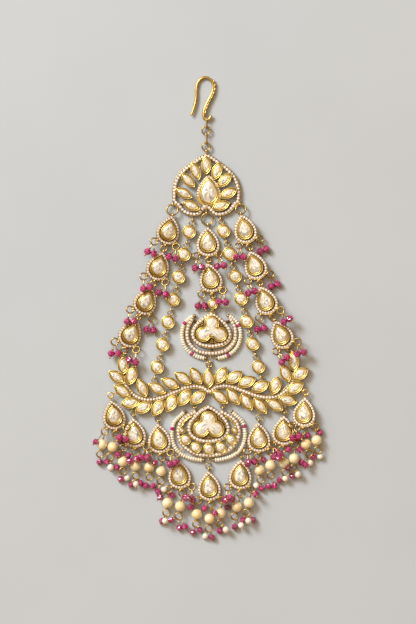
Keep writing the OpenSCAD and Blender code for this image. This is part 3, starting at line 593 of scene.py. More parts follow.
class Graph:
    """The node tree of one material or world."""

    def __init__(self, made: bpy.types.Material | bpy.types.World, space: str = "Object") -> None:
        """Empties the tree and adds its coordinates.

        Args:
            made: The material or the world.
            space: Which coordinates its textures lie in.
        """
        made.use_nodes = True
        self.tree = made.node_tree
        self.tree.nodes.clear()
        self.place = self.node("ShaderNodeTexCoord", output=space)

    def node(self, kind: str, settings: dict[str, object] | None = None,
             inputs: dict[str | int, object] | None = None, output: str | int = 0) -> Signal:
        """Adds a node of any type.

        Args:
            kind: The node's type.
            settings: Its settings, made before its inputs.
            inputs: Values or signals of its input sockets.
            output: The output that is returned.

        Returns:
            That output.
        """
        made = self.tree.nodes.new(kind)
        for key, value in (settings or {}).items():
            setattr(made, key, value)
        for key, value in (inputs or {}).items():
            if isinstance(value, Signal):
                self.tree.links.new(value.socket, made.inputs[key])
            else:
                made.inputs[key].default_value = value
        return Signal(self, made.outputs[output])

    def noise(self, scale: float, detail: float, rough: float = 0.55) -> Signal:
        """Noise over the object's own space, with features of about 1 / scale metres."""
        return self.node("ShaderNodeTexNoise", {}, {"Vector": self.place, "Scale": scale, "Detail": detail,
                                                    "Roughness": rough})

    def height(self) -> Signal:
        """Height above the floor in millimetres."""
        return self.node("ShaderNodeSeparateXYZ", {}, {"Vector": self.place}, "Z") * (1 / MM)

    def toward(self, direction: Row) -> Signal:
        """How closely a world's ray points along a direction, 1 where it does."""
        way = tuple(Vector(direction).normalized())
        return self.node("ShaderNodeVectorMath", {"operation": "DOT_PRODUCT"}, {0: self.place, 1: way},
                         "Value")

    def tint(self, channel: Tint) -> Signal:
        """A channel of the tint layer."""
        layer = self.node("ShaderNodeVertexColor", {"layer_name": TINT_LAYER}, {}, "Color")
        return self.node("ShaderNodeSeparateColor", {}, {"Color": layer}, channel.value)

    def mix(self, factor: Signal, a: Colour | Signal, b: Colour | Signal) -> Signal:
        """A mix of two colours, from a where the factor is 0 to b where it is 1."""
        a, b = (c if isinstance(c, Signal) else (*c, 1.0) for c in (a, b))
        return self.node("ShaderNodeMix", {"data_type": "RGBA"}, {MIX_FACTOR: factor, MIX_A: a, MIX_B: b},
                         MIX_RESULT)

    def bump(self, level: Signal, distance: float, strength: float) -> Signal:
        """A bumped normal from a height between 0 and 1."""
        return self.node("ShaderNodeBump", {}, {"Height": level, "Distance": distance, "Strength": strength})

    def surface(self, **inputs: object) -> None:
        """Ends a material's tree in a principled shader.

        Args:
            inputs: Its sockets, with underscores for spaces.
        """
        shader = self.node("ShaderNodeBsdfPrincipled", {}, {
            key.replace("_", " "): (*value, 1.0) if isinstance(value, tuple) and len(value) == 3
            and key.endswith(("Color", "Tint")) else value
            for key, value in inputs.items()
        })
        self.end("ShaderNodeOutputMaterial", shader)

    def end(self, kind: str, shader: Signal) -> None:
        """Ends the tree in an output node.

        Args:
            kind: The output node's type.
            shader: The shader that it shows.
        """
        self.tree.links.new(shader.socket, self.tree.nodes.new(kind).inputs["Surface"])


@dataclass(frozen=True)
class Finish:
    """A finish that makes its material once.

    Attributes:
        name: Name of the material.
    """

    name: str

    @cache
    def material(self) -> bpy.types.Material:
        """The finish's material."""
        made = bpy.data.materials.new(self.name)
        self.build(Graph(made))
        return made

    def build(self, g: Graph) -> None:
        """Builds the material's graph."""
        raise NotImplementedError


@dataclass(frozen=True)
class Gilt(Finish):
    """Burnished gilt brass with painted shade and antique patina in its recesses, and painted shade low
    down.

    Attributes:
        bright: Colour of the polished metal.
        dark: Colour of the recesses, antique patina deepened into painted shade.
        rough: Roughness of the polished metal.
        low: Height in millimetres below which a plain solid is darkened with painted shade.
        high: Height above which it carries no painted shade.
        tinted: Whether the piece carries the tint layer, which then says where the recesses with painted
            shade and patina are.
    """

    bright: Colour = (0.95, 0.67, 0.22)
    dark: Colour = (0.045, 0.02, 0.007)
    rough: float = 0.24
    low: float = 0.5
    high: float = 1.7
    tinted: bool = True

    def build(self, g: Graph) -> None:
        """Builds the material's graph."""
        cloud = g.noise(420, 4)
        # Recess depth, or on plain solids nearness to the floor, darkens the gilt: painted shade, with
        # antique patina in the recesses
        if self.tinted:
            recess = g.tint(Tint.DEEP)
            level = g.tint(Tint.BRIGHT)
        else:
            recess = 1 - g.height().step(self.low, self.high)
            level = 1 - recess * 0.1
        stain_and_shade = (recess * 0.92 + cloud.step(0.52, 0.75) * 0.28).held()
        colour = g.mix(stain_and_shade, self.bright, self.dark)
        worn = g.mix(g.noise(1500, 2).step(0.35, 0.7) * 0.25, colour, (1.0, 0.82, 0.4))
        # Lower brightness darkens faces at random; on plain solids it adds painted shade low down
        shaded = g.mix(1 - level, worn, self.dark)
        rough = (self.rough + cloud * 0.1 + recess * 0.22).held()
        scratches = g.bump(g.noise(2600, 3), 0.00002, 0.35)
        g.surface(Base_Color=shaded, Metallic=1.0, Roughness=rough, Normal=scratches)


@dataclass(frozen=True)
class FoiledGlass(Finish):
    """Cut glass over foil with painted facet light, and a painted reflection of the gilt on its edge facets.

    Attributes:
        pale: Colour of the facets painted as lit.
        shade: Colour of the facets painted as shaded.
        warm: Colour of the painted reflection of the gilt on the edge facets, and of the foil under a few
            others.
        rough: Roughness of the polish.
        foil: Share of the facets that stay clear of the foil's colour.
    """

    pale: Colour = (1.0, 0.985, 0.94)
    shade: Colour = (0.27, 0.24, 0.2)
    warm: Colour = (0.95, 0.74, 0.34)
    rough: float = 0.05
    foil: float = 0.84

    def build(self, g: Graph) -> None:
        """Builds the material's graph."""
        level = g.tint(Tint.BRIGHT)
        chance = g.tint(Tint.CHANCE)
        inner = g.noise(420, 2, 0.5)
        # Each facet's brightness is painted light: facets painted lit and shaded
        painted_facet_light = (level * 1.45 - 0.2 + (inner - 0.5) * 0.08).held()
        body = g.mix(painted_facet_light, self.shade, self.pale)
        # Painted reflection of the gilt on the edge facets, and the foil's colour under a few facets
        gilt = (g.tint(Tint.DEEP) * 0.5 + chance.step(self.foil, self.foil + 0.04) * 0.5).held()
        # A few facets at random are painted nearly black as painted dark reflections
        dark = (1 - chance).step(0.94, 0.96) * 0.55
        colour = g.mix(dark, g.mix(gilt, body, self.warm), (0.1, 0.07, 0.035))
        g.surface(Base_Color=colour, Metallic=0.05, Roughness=(inner * 0.05 + self.rough).held(),
                  Coat_Weight=1.0, Coat_Roughness=0.03, IOR=1.6)


@dataclass(frozen=True)
class RubyGlass(Finish):
    """Pink red glass beads, their facets painted lit and shaded, some beads darker than others.

    Attributes:
        light: Colour of the facets painted as lit.
        deep: Colour of the body, which the facets painted as shaded take.
    """

    light: Colour = (0.76, 0.02, 0.27)
    deep: Colour = (0.06, 0.0005, 0.02)

    def build(self, g: Graph) -> None:
        """Builds the material's graph."""
        inner = g.noise(700, 3, 0.6)
        # Facets painted lit and shaded by the brightness on the tint layer: painted highlights and shade
        painted_glint = (g.tint(Tint.BRIGHT) * 1.2 - 0.2 + (inner - 0.5) * 0.4).held()
        colour = g.mix(painted_glint, self.deep, self.light)
        g.surface(Base_Color=colour, Roughness=(inner * 0.05 + 0.05).held(), Coat_Weight=1.0,
                  Coat_Roughness=0.03, IOR=1.65, Specular_IOR_Level=0.7, Subsurface_Weight=0.12,
                  Subsurface_Radius=(1.0, 0.2, 0.35), Subsurface_Scale=0.0008,
                  Normal=g.bump(inner, 0.00003, 0.2))


@dataclass(frozen=True)
class Lustre(Finish):
    """Pearl: soft light inside under a clear skin.

    Attributes:
        body: Main colour.
        blush: Colour of its clouds.
        tinted: Whether the piece carries the tint layer.
    """

    body: Colour = (1.0, 0.77, 0.4)
    blush: Colour = (1.0, 0.9, 0.62)
    tinted: bool = True

    def build(self, g: Graph) -> None:
        """Builds the material's graph."""
        cloud = g.noise(260, 3, 0.6)
        colour = g.mix(cloud.step(0.35, 0.65), self.body, self.blush)
        if self.tinted:
            colour = g.mix((1 - g.tint(Tint.BRIGHT)) * 0.5, colour, (0.62, 0.45, 0.22))
        g.surface(Base_Color=colour, Roughness=(cloud * 0.12 + 0.2).held(), Coat_Weight=1.0,
                  Coat_Roughness=0.06, Subsurface_Weight=0.2, Subsurface_Radius=(1.0, 0.7, 0.45),
                  Subsurface_Scale=0.001, Normal=g.bump(g.noise(1800, 2), 0.00001, 0.25))


@dataclass(frozen=True)
class Paper(Finish):
    """The pale matt surface that the piece lies on.

    Attributes:
        colour: Its colour.
    """

    colour: Colour = (0.553, 0.608, 0.676)

    def build(self, g: Graph) -> None:
        """Builds the material's graph."""
        cloud = g.noise(14, 3)
        shade = tuple(c * 0.97 for c in self.colour)
        g.surface(Base_Color=g.mix(cloud.step(0.3, 0.7), self.colour, shade), Roughness=0.75,
                  Normal=g.bump(g.noise(1400, 3), 0.00003, 0.2))


BEZEL = Gilt("gilt_bezel", bright=(1.0, 0.79, 0.27), dark=(0.15, 0.065, 0.012), rough=0.26)
WIRE_GOLD = Gilt("gilt_wire", bright=(0.58, 0.39, 0.12), rough=0.24)
PRONG_GOLD = Gilt("gilt_prongs", bright=(0.72, 0.48, 0.17), dark=(0.045, 0.02, 0.009), rough=0.3)
PLAIN_GOLD = Gilt("gilt_solid", low=1.0, high=2.1, tinted=False)
PLAIN_WIRE = Gilt("gilt_solid_wire", bright=(0.66, 0.45, 0.16), low=0.5, high=1.9, tinted=False)
KUNDAN = FoiledGlass("kundan_glass")
SPARK = FoiledGlass("small_white_stones", pale=(1.0, 0.95, 0.91), shade=(0.7, 0.54, 0.45), rough=0.1,
                    foil=0.93)
RUBY = RubyGlass("ruby_glass")
PLAIN_PEARL = Lustre("cream_pearl_solid", tinted=False)
SEED_PEARL = Lustre("seed_pearl", body=(0.95, 0.86, 0.68), blush=(1.0, 0.96, 0.87))
FLOOR_PAPER = Paper("pale_paper")


class Slot(Enum):
    """Material slots of the record, one of which is passed along with each piece."""

    GOLD = "antique_gold"
    WIRE = "gold_wire"
    STONE = "kundan_stone"
    RUBY = "ruby_bead"
    SEED = "seed_pearl"


class Outline:
    """A closed plan outline, counter-clockwise, that can grow outward."""

    def points(self, grow: float = 0.0, count: int = CUP_STEPS, phase: float = 0.0) -> Points:
        """Points of the outline.

        Args:
            grow: How far it grows.
            count: How many points it gets.
            phase: Shift of the points along the outline, as a share of the distance between two.

        Returns:
            The points in the plan.
        """
        raise NotImplementedError


@dataclass(frozen=True)
class Pear(Outline):
    """A pear with its point at +Y."""

    width: float
    length: float

    def points(self, grow: float = 0.0, count: int = CUP_STEPS, phase: float = 0.0) -> Points:
        """Points of the pear."""
        blunt = 0.7
        peak = math.atan(math.sqrt(1 + blunt))
        gain = 1 / (math.sin(2 * peak) * math.sin(peak) ** blunt)
        t = -2 * math.pi * (np.arange(count) + phase) / count
        return np.column_stack([
            (self.width / 2 + grow) * gain * np.sin(t) * np.abs(np.sin(t / 2)) ** blunt,
            (self.length / 2 + 1.2 * grow) * np.cos(t),
        ])


@dataclass(frozen=True)
class Leaf(Outline):
    """A leaf between two arcs, with its points at both ends of X."""

    length: float
    width: float

    def points(self, grow: float = 0.0, count: int = CUP_STEPS, phase: float = 0.0) -> Points:
        """Points of the leaf."""
        length, width = self.length + 3 * grow, self.width + 2 * grow
        r = (length**2 + width**2) / (4 * width)
        half = math.asin(length / 2 / r)
        share = ((np.arange(count) + phase) / count * 2) % 2
        lower = share < 1
        a = np.where(lower, -half + 2 * half * share, half - 2 * half * (share - 1))
        arch = r * np.cos(a) + width / 2 - r
        return np.column_stack([r * np.sin(a), np.where(lower, -arch, arch)])


@dataclass(frozen=True)
class Round(Outline):
    """A circle."""

    radius: float

    def points(self, grow: float = 0.0, count: int = CUP_STEPS, phase: float = 0.0) -> Points:
        """Points of the circle."""
        return (self.radius + grow) * unit_circle(count, phase)


@dataclass(frozen=True)
class Trefoil(Outline):
    """Round lobes grown together about the origin."""

    lobes: tuple[Row, ...]
    radius: float

    def points(self, grow: float = 0.0, count: int = CUP_STEPS, phase: float = 0.0) -> Points:
        """Points of the trefoil."""
        way = unit_circle(count, phase + count / 4)
        r = self.radius + grow
        reach = np.zeros(count)
        for lobe in self.lobes:
            ahead, aside = way @ np.array(lobe), left_of(way) @ np.array(lobe)
            far = ahead + np.sqrt(np.maximum(r**2 - aside**2, 0))
            reach = np.maximum(reach, np.where(np.abs(aside) < r, far, 0))
        return way * reach[:, None]


@dataclass(frozen=True)
class Strip(Outline):
    """The outline of a band along a path."""

    path: Points
    width: float

    def points(self, grow: float = 0.0, count: int = 0, phase: float = 0.0) -> Points:
        """Points of the band's edge, one on each side of each point of the path."""
        p = np.array(self.path)
        way = ways_along(p)
        side = left_of(way) * (self.width / 2 + grow)
        p[0] -= way[0] * grow
        p[-1] += way[-1] * grow
        return np.vstack([p - side, (p + side)[::-1]])


@dataclass(frozen=True)
class Loop(Outline):
    """An edge at a distance from a closed path that runs counter-clockwise."""

    path: Points
    out: float

    def points(self, grow: float = 0.0, count: int = 0, phase: float = 0.0) -> Points:
        """Points of the edge, one for each point of the path."""
        return self.path - left_of(ways_along(self.path, closed=True)) * (self.out + grow)


# Profiles of rims: growth, height and how deep in the recess, which sets the painted shade
Profile = Sequence[Row]
LIP: Profile = [
    (0.03, -1.2, 1.0), (0.05, -0.75, 0.55), (0.1, -0.3, 0.1), (0.1, 0.1, 0), (0.0, 0.2, 0),
    (-0.12, 0.18, 0.1), (-0.19, 0.06, 0.9), (-0.3, 0.04, 1.0), (-0.38, 0.08, 0.9), (-0.44, 0.22, 0.2),
    (-0.55, 0.3, 0), (-0.69, 0.3, 0), (-0.79, 0.2, 0.1), (-0.86, 0.0, 0.9),
]
RAIL: Profile = [
    (0.1, -0.9, 1.0), (0.15, -0.35, 0.85), (0.16, 0.0, 0.4), (0.1, 0.1, 0.1), (0.0, 0.11, 0.2),
    (-0.1, 0.04, 0.7), (-0.13, -0.04, 1.0),
]
INNER_RAIL: Profile = [
    (0.16, -0.04, 1.0), (0.14, 0.05, 0.8), (0.08, 0.1, 0.5), (0.0, 0.09, 0.6), (-0.04, 0.0, 0.9),
    (-0.05, -0.5, 1.0),
]
# A groove's floor: a flat band painted dark as shade between cup and halo
GROOVE: Profile = [(GROOVE_WIDTH + 0.02, 0.03, 1.0), (0.02, 0.03, 1.0)]
# Painted highlight and shade on the wedges of a stone's flat table, by turns
TABLE_PAINTED_LIGHT = (1.0, 0.42, 0.95, 0.7)
# Stones: how far the cut goes down behind the lip, how wide the ring between the two tiers of facets and the
# table are as shares of the stone, and how high that ring lies over the girdle
CUT_DEPTH = 0.75
TIER_SHARE = 0.8
TABLE_SHARE = 0.52
TIER_RISE = 0.44


@dataclass
class Setting:
    """A stone in its cup.

    Attributes:
        outline: Outer edge of the cup.
        place: Matrix that puts it on the layout.
        top: Height of the cup's wall.
        facets: Number of facets round the stone.
        stone_wall: Distance from the cup's edge to the stone.
        broad: Width of the lip, as a share of the usual one.
        dull: How much painted shade the darkest sector of the stone may take.
    """

    outline: Outline
    place: Points
    top: float = CUP_TOP
    facets: int = FACETS
    stone_wall: float = WALL + FIT
    broad: float = 1.0
    dull: float = 0.5

    def dress(self, metal: Form, crown: Form, count: int = CUP_STEPS) -> None:
        """Adds the burnished lip of the cup and the cut stone in it.

        Args:
            metal: The mesh of the lip, in its first slot.
            crown: The mesh of the stone.
            count: Points along the lip.
        """
        lip = [(grow * self.broad, z, depth) for grow, z, depth in LIP]
        metal.rim(self.outline, lip, self.top, self.place, count, slot=0)
        self.crown(crown)

    def crown(self, form: Form) -> None:
        """Adds the cut stone: girdle, two tiers of crown facets and a table in wedges.

        Args:
            form: The mesh that it goes into.
        """
        n = self.facets

        def level(share: float, phase: float, z: float) -> Points:
            """A ring of the stone."""
            return moved(raised(self.outline.points(-self.stone_wall, n, phase) * share, z), self.place)

        low, edge = level(1.0, 0, self.top - CUT_DEPTH), level(1.0, 0, GIRDLE)
        tier, table = level(TIER_SHARE, 0.5, GIRDLE + TIER_RISE), level(TABLE_SHARE, 0, TABLE)
        heart = moved(raised(np.zeros(2), TABLE), self.place)
        # Facets carry painted light: a darker girdle, sectors with random painted shade, table wedges
        # painted lit and shaded, and a painted gilt glint near the edge
        form.stack([low, edge], smooth=False, deep=[1.0, 0.9], bright=0.7, scatter=0.5)
        sectors = [1 - self.dull * form.chance.random() ** 2 for _ in range(n)]
        self.fans(form, edge, tier, (0.8, 0.1), 0.15, sectors)
        self.fans(form, tier, table, (0.1, 0.0), 0.4, sectors)
        start = form.chance.randrange(len(TABLE_PAINTED_LIGHT))
        for i in range(n):
            wedge = np.vstack([table[i], table[(i + 1) % n], heart])
            bright = TABLE_PAINTED_LIGHT[(i + start) % len(TABLE_PAINTED_LIGHT)]
            form.add(wedge, [(0, 1, 2)], smooth=False, bright=bright, deep=0.05, scatter=0.25)

    @staticmethod
    def fans(form: Form, outer: Points, inner: Points, deep: tuple[float, float], scatter: float,
             sectors: Sequence[float]) -> None:
        """Joins two rings, the inner one turned by half a step, with facets of three sides.

        Args:
            form: The mesh.
            outer: The outer ring.
            inner: The inner ring.
            deep: How strong the painted reflection of the gilt is at the outer and at the inner ring.
            scatter: How much the brightness changes from facet to facet.
            sectors: Painted brightness of each sector of the stone.
        """
        levels = np.repeat(deep, 2)
        for i, bright in enumerate(sectors):
            j = (i + 1) % len(outer)
            form.add(np.array([outer[i], outer[j], inner[i], inner[j]]), [(0, 1, 2), (1, 3, 2)],
                     smooth=False, bright=bright, deep=levels, scatter=scatter)


def ball(sides: int, tiers: int) -> Cell:
    """A ball of radius 1.

    Args:
        sides: Faces round it.
        tiers: Faces from pole to pole.

    Returns:
        The ball.
    """
    lines = np.pi * np.arange(1, tiers) / tiers
    points = [raised(np.sin(a) * unit_circle(sides), -np.cos(a)) for a in lines]
    last = (tiers - 2) * sides
    low, high = last + sides, last + sides + 1
    faces: list[tuple[int, ...]] = []
    for i in range(sides):
        j = (i + 1) % sides
        faces += [(low, j, i), (high, last + i, last + j)]
        faces += [(k + i, k + j, k + sides + j, k + sides + i) for k in range(0, last, sides)]
    return Cell(np.vstack([*points, [[0, 0, -1], [0, 0, 1]]]), faces)


def brilliant(sides: int) -> Cell:
    """A small round stone of radius 1: girdle, crown facets and a table in facets.

    Args:
        sides: Facets round it.

    Returns:
        The stone.
    """
    foot, girdle = raised(unit_circle(sides), -0.6), raised(unit_circle(sides), 0)
    table = raised(0.6 * unit_circle(sides, 0.5), 0.42)
    faces: list[tuple[int, ...]] = []
    for i in range(sides):
        j = (i + 1) % sides
        faces += [(i, j, sides + j, sides + i), (sides + i, sides + j, 2 * sides + i),
                  (sides + j, 2 * sides + j, 2 * sides + i), (2 * sides + i, 2 * sides + j, 3 * sides)]
    return Cell(np.vstack([foot, girdle, table, [[0, 0, 0.46]]]), faces, smooth=False)


def cut_bead(sides: int, tiers: int) -> Cell:
    """A facetted round bead of radius 1, its rows turned by half a facet against each other.

    Args:
        sides: Facets round it.
        tiers: Rows of facets from pole to pole.

    Returns:
        The bead.
    """
    points, faces = [], []
    for k in range(1, tiers):
        a = math.pi * k / tiers
        points.append(raised(math.sin(a) * unit_circle(sides, 0.5 * (k % 2)), -math.cos(a)))
    last = (tiers - 2) * sides
    low, high = last + sides, last + sides + 1
    for i in range(sides):
        j = (i + 1) % sides
        faces += [(low, j, i), (high, last + i, last + j)]
        for k in range(tiers - 2):
            a, b = k * sides, (k + 1) * sides
            if k % 2 == 0:
                faces += [(a + i, b + i, b + (i - 1) % sides), (a + i, a + j, b + i)]
            else:
                faces += [(a + i, a + j, b + j), (a + i, b + j, b + i)]
    return Cell(np.vstack([*points, [[0, 0, -0.94], [0, 0, 0.94]]]), faces, smooth=False)


BALL = ball(8, 5)
BALL_FINE = ball(14, 9)
DISC = Cell(BALL_FINE.points * [1, 1, SEED_FLAT], BALL_FINE.faces)
PRONG = ball(6, 4)
BRILLIANT = brilliant(8)
CUT_BEAD = cut_bead(12, 7)


@dataclass
class StoneRow:
    """A row of small white stones held by pairs of grains.

    Attributes:
        path: Points of the row in the plan.
        size: Radius of a stone, distance between two stones, and distance of the grains from the
            row's middle.
        place: Matrix that puts it on the layout.
        closed: Whether the row is a ring.
        inset: Length left free at the ends of an open row.
    """

    path: Points
    size: Row
    place: Points = field(default_factory=FLAT.copy)
    closed: bool = True
    inset: float = 0.0

    def build(self, stones: Form, grains: Form) -> None:
        """Adds the stones and the grains.

        Args:
            stones: The mesh of the stones.
            grains: The mesh of the grains, in its second slot.
        """
        radius, pitch, spread = self.size
        at, way = spaced(self.path, pitch, self.closed, self.inset)
        self.seat(grains, spread + SEAT_MARGIN)
        pick = stones.chance.uniform
        places = [
            self.place @ basis(UP, (x, y, HALO_TOP + STONE_LIFT), pick(0, 45), radius * pick(0.94, 1.05))
            for x, y in at
        ]
        # Facets of the small stones painted lit and shaded at random
        stones.repeat(BRILLIANT, places, scatter=0.42, spread=0.15)
        between = (at + np.roll(at, -1, 0)) / 2
        if not self.closed:
            between, way = between[:-1], way[:-1]
        side = left_of(way) * spread
        balls = [
            self.place @ basis(UP, (x, y, HALO_TOP + GRAIN_LIFT), 0, grains.chance.uniform(*GRAIN_RADII))
            for x, y in np.vstack([between - side, between + side])
        ]
        grains.repeat(PRONG, balls, 1, deep=0.1, spread=0.3)

    def seat(self, form: Form, reach: float) -> None:
        """Adds the channel in which the row is set, a flat band painted dark as shade.

        Args:
            form: The mesh that it goes into, in its second slot.
            reach: Half of its width.
        """
        side = left_of(ways_along(self.path, self.closed)) * reach
        edges = [moved(raised(self.path + s * side, HALO_TOP + GROUND_LIFT), self.place) for s in (-1, 1)]
        form.stack(edges, 1, deep=[1.0, 1.0], closed=self.closed)


def mesh_points(mesh: bpy.types.Mesh) -> Points:
    """The points of a mesh in metres."""
    raw = np.empty(len(mesh.vertices) * 3)
    mesh.vertices.foreach_get("co", raw)
    return raw.reshape(-1, 3)


def islands(node: str) -> list[Points]:
    """The separate solids of a CAD node.

    Args:
        node: The node.

    Returns:
        The points of each solid, in millimetres on the layout.
    """
    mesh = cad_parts[node].data
    points, where = np.unique(np.round(mesh_points(mesh) / MM, 3), axis=0, return_inverse=True)
    edges = np.empty(len(mesh.edges) * 2, int)
    mesh.edges.foreach_get("vertices", edges)
    pairs = where.ravel()[edges].reshape(-1, 2)
    label = np.arange(len(points))
    while True:
        low = np.minimum(label[pairs[:, 0]], label[pairs[:, 1]])
        fresh = label.copy()
        np.minimum.at(fresh, pairs[:, 0], low)
        np.minimum.at(fresh, pairs[:, 1], low)
        fresh = fresh[fresh]
        if (fresh == label).all():
            break
        label = fresh
    return [points[label == k] - SHIFT for k in np.unique(label)]


def middle_of(solid: Points) -> Points:
    """The middle of a solid's box."""
    return (solid.min(0) + solid.max(0)) / 2


def middles(node: str) -> Points:
    """The middle of each solid of a CAD node."""
    return np.array([middle_of(solid) for solid in islands(node)])


@dataclass
class PearPiece:
    """One pear setting: lip, groove painted dark as shade, halo of small white stones and the cut stone.

    Attributes:
        name: Strand and number.
        row: x, y, lean in degrees, and side that it is rolled to (1 left, -1 right, 0 flat).
        cup: Width and length of the cup.
        halo: Width and length of the halo.
        roll: How far it is rolled, in degrees.
        stones: Radius and distance of the small white stones, and distance of the grains from their middle.
        stones_out: How far their row lies outside the middle of the halo.
    """

    name: str
    row: Row
    cup: Row = (6.1, 8.1)
    halo: Row = (9.0, 11.6)
    roll: float = 12.0
    stones: Row = (0.56, 1.15, 0.42)
    stones_out: float = 0.12

    def place(self) -> Points:
        """The pear's matrix: leaning in the plan and rolled about its own length."""
        x, y, lean, side = self.row
        lift = math.sin(math.radians(self.roll)) * abs(side) * self.halo[0] / 2
        rolled = np.array(Matrix.Rotation(math.radians(self.roll * side), 4, "Y"))
        return basis(UP, (x, y, lift), lean) @ rolled

    def build(self) -> None:
        """Makes the setting's pieces."""
        seed = sum(map(ord, self.name))
        metal, stones, crown = Form(seed), Form(seed + 1), Form(seed + 2)
        setting = Setting(Pear(*self.cup), self.place())
        setting.dress(metal, crown)
        inner = [size + 2 * GROOVE_WIDTH for size in self.cup]
        metal.rim(setting.outline, GROOVE, PLATE_TOP, setting.place)
        metal.rim(Pear(*inner), INNER_RAIL, HALO_TOP, setting.place)
        metal.rim(Pear(*self.halo), RAIL, HALO_TOP, setting.place)
        row = Pear(*((a + b) / 2 + self.stones_out for a, b in zip(self.halo, inner)))
        StoneRow(row.points(count=ROW_STEPS), self.stones, setting.place).build(stones, metal)
        metal.make(f"mount_{self.name}", [BEZEL, PRONG_GOLD], Slot.GOLD)
        stones.make(f"white_stones_{self.name}", [SPARK], Slot.STONE)
        crown.make(f"crown_{self.name}", [KUNDAN], Slot.STONE, [f"stone_{self.name}"])


@dataclass
class Lotus:
    """The lotus plate: a rim of white stones, nine petals and a pear at its heart.

    Attributes:
        foot: Middle of the plate's foot.
        size: Width and height of the plate.
        rim_width: Width of its rim.
        rim_stones: Radius and distance of its small stones, and distance of the grains from their middle.
        petal: Length and width of a petal's cup.
        bar: How far a petal's tie bar runs past its tip.
        heart: Width and length of the cup at the heart.
        heart_at: Its place, as shares of the plate's half width and height.
        heart_facets: Facets round its stone.
        heart_halo: How much wider and longer its halo is.
        heart_share: Share of that at which the halo's small stones lie.
        heart_stones: Their radius and distance, and distance of the grains from their middle.
        heart_arch: Steps of their row on each side of the point.
        heart_inset: Length left free at the ends of their row.
    """

    foot: Row = (-0.9, 37.0)
    size: Row = (28.2, 25.2)
    rim_width: float = 1.4
    rim_stones: Row = (0.64, 1.3, 0.52)
    petal: Row = (7.5, 3.9)
    bar: float = 1.1
    heart: Row = (7.6, 10.8)
    heart_at: Row = (0.07, 0.4)
    heart_facets: int = 12
    heart_halo: float = 2.0
    heart_share: float = 0.52
    heart_stones: Row = (0.5, 1.05, 0.42)
    heart_arch: int = 50
    heart_inset: float = 0.2

    def at(self, x: float, y: float) -> Row:
        """A place on the lotus from shares of its half width and height."""
        return self.foot[0] + x * self.size[0] / 2, self.foot[1] + y * self.size[1]

    def build(self) -> None:
        """Makes the lotus's pieces."""
        metal, stones, petals, heart = Form(11), Form(12), Form(13), Form(14)
        rows = PETALS + [(-x, y, 180 - turn) for x, y, turn in PETALS[1:]]
        places = [placed((*self.at(x, y), turn)) for x, y, turn in rows]
        TrimmedFrame("lotus_frame", places, self.petal[0] / 2 + self.bar).build()
        right = smooth_run([self.at(*p) for p in RIM], 5)
        loop = np.vstack([right[:-1], mirrored(right, self.foot[0])[:-1]])[::-1]
        metal.rim(Loop(loop, self.rim_width / 2), RAIL, HALO_TOP)
        metal.rim(Loop(loop, -self.rim_width / 2), INNER_RAIL, HALO_TOP)
        StoneRow(loop, self.rim_stones).build(stones, metal)
        for place in places:
            Setting(Leaf(*self.petal), place).dress(metal, petals, LEAF_STEPS)
        centre = Setting(Pear(*self.heart), placed(self.at(*self.heart_at)), facets=self.heart_facets)
        centre.dress(metal, heart)
        metal.rim(Pear(*(size + self.heart_halo for size in self.heart)), RAIL, HALO_TOP, centre.place)
        growth = self.heart_halo * self.heart_share
        halo = Pear(*(size + growth for size in self.heart)).points(count=ROW_STEPS)
        arch = np.roll(halo, self.heart_arch, 0)[:2 * self.heart_arch]
        row = StoneRow(arch, self.heart_stones, centre.place, closed=False, inset=self.heart_inset)
        row.build(stones, metal)
        metal.make("lotus_mount", [BEZEL, PRONG_GOLD], Slot.GOLD)
        stones.make("lotus_white_stones", [SPARK], Slot.STONE)
        petals.make("lotus_petal_crowns", [KUNDAN], Slot.STONE, ["lotus_petal_stones"])
        heart.make("lotus_heart_crown", [KUNDAN], Slot.STONE, ["lotus_centre_stone"])


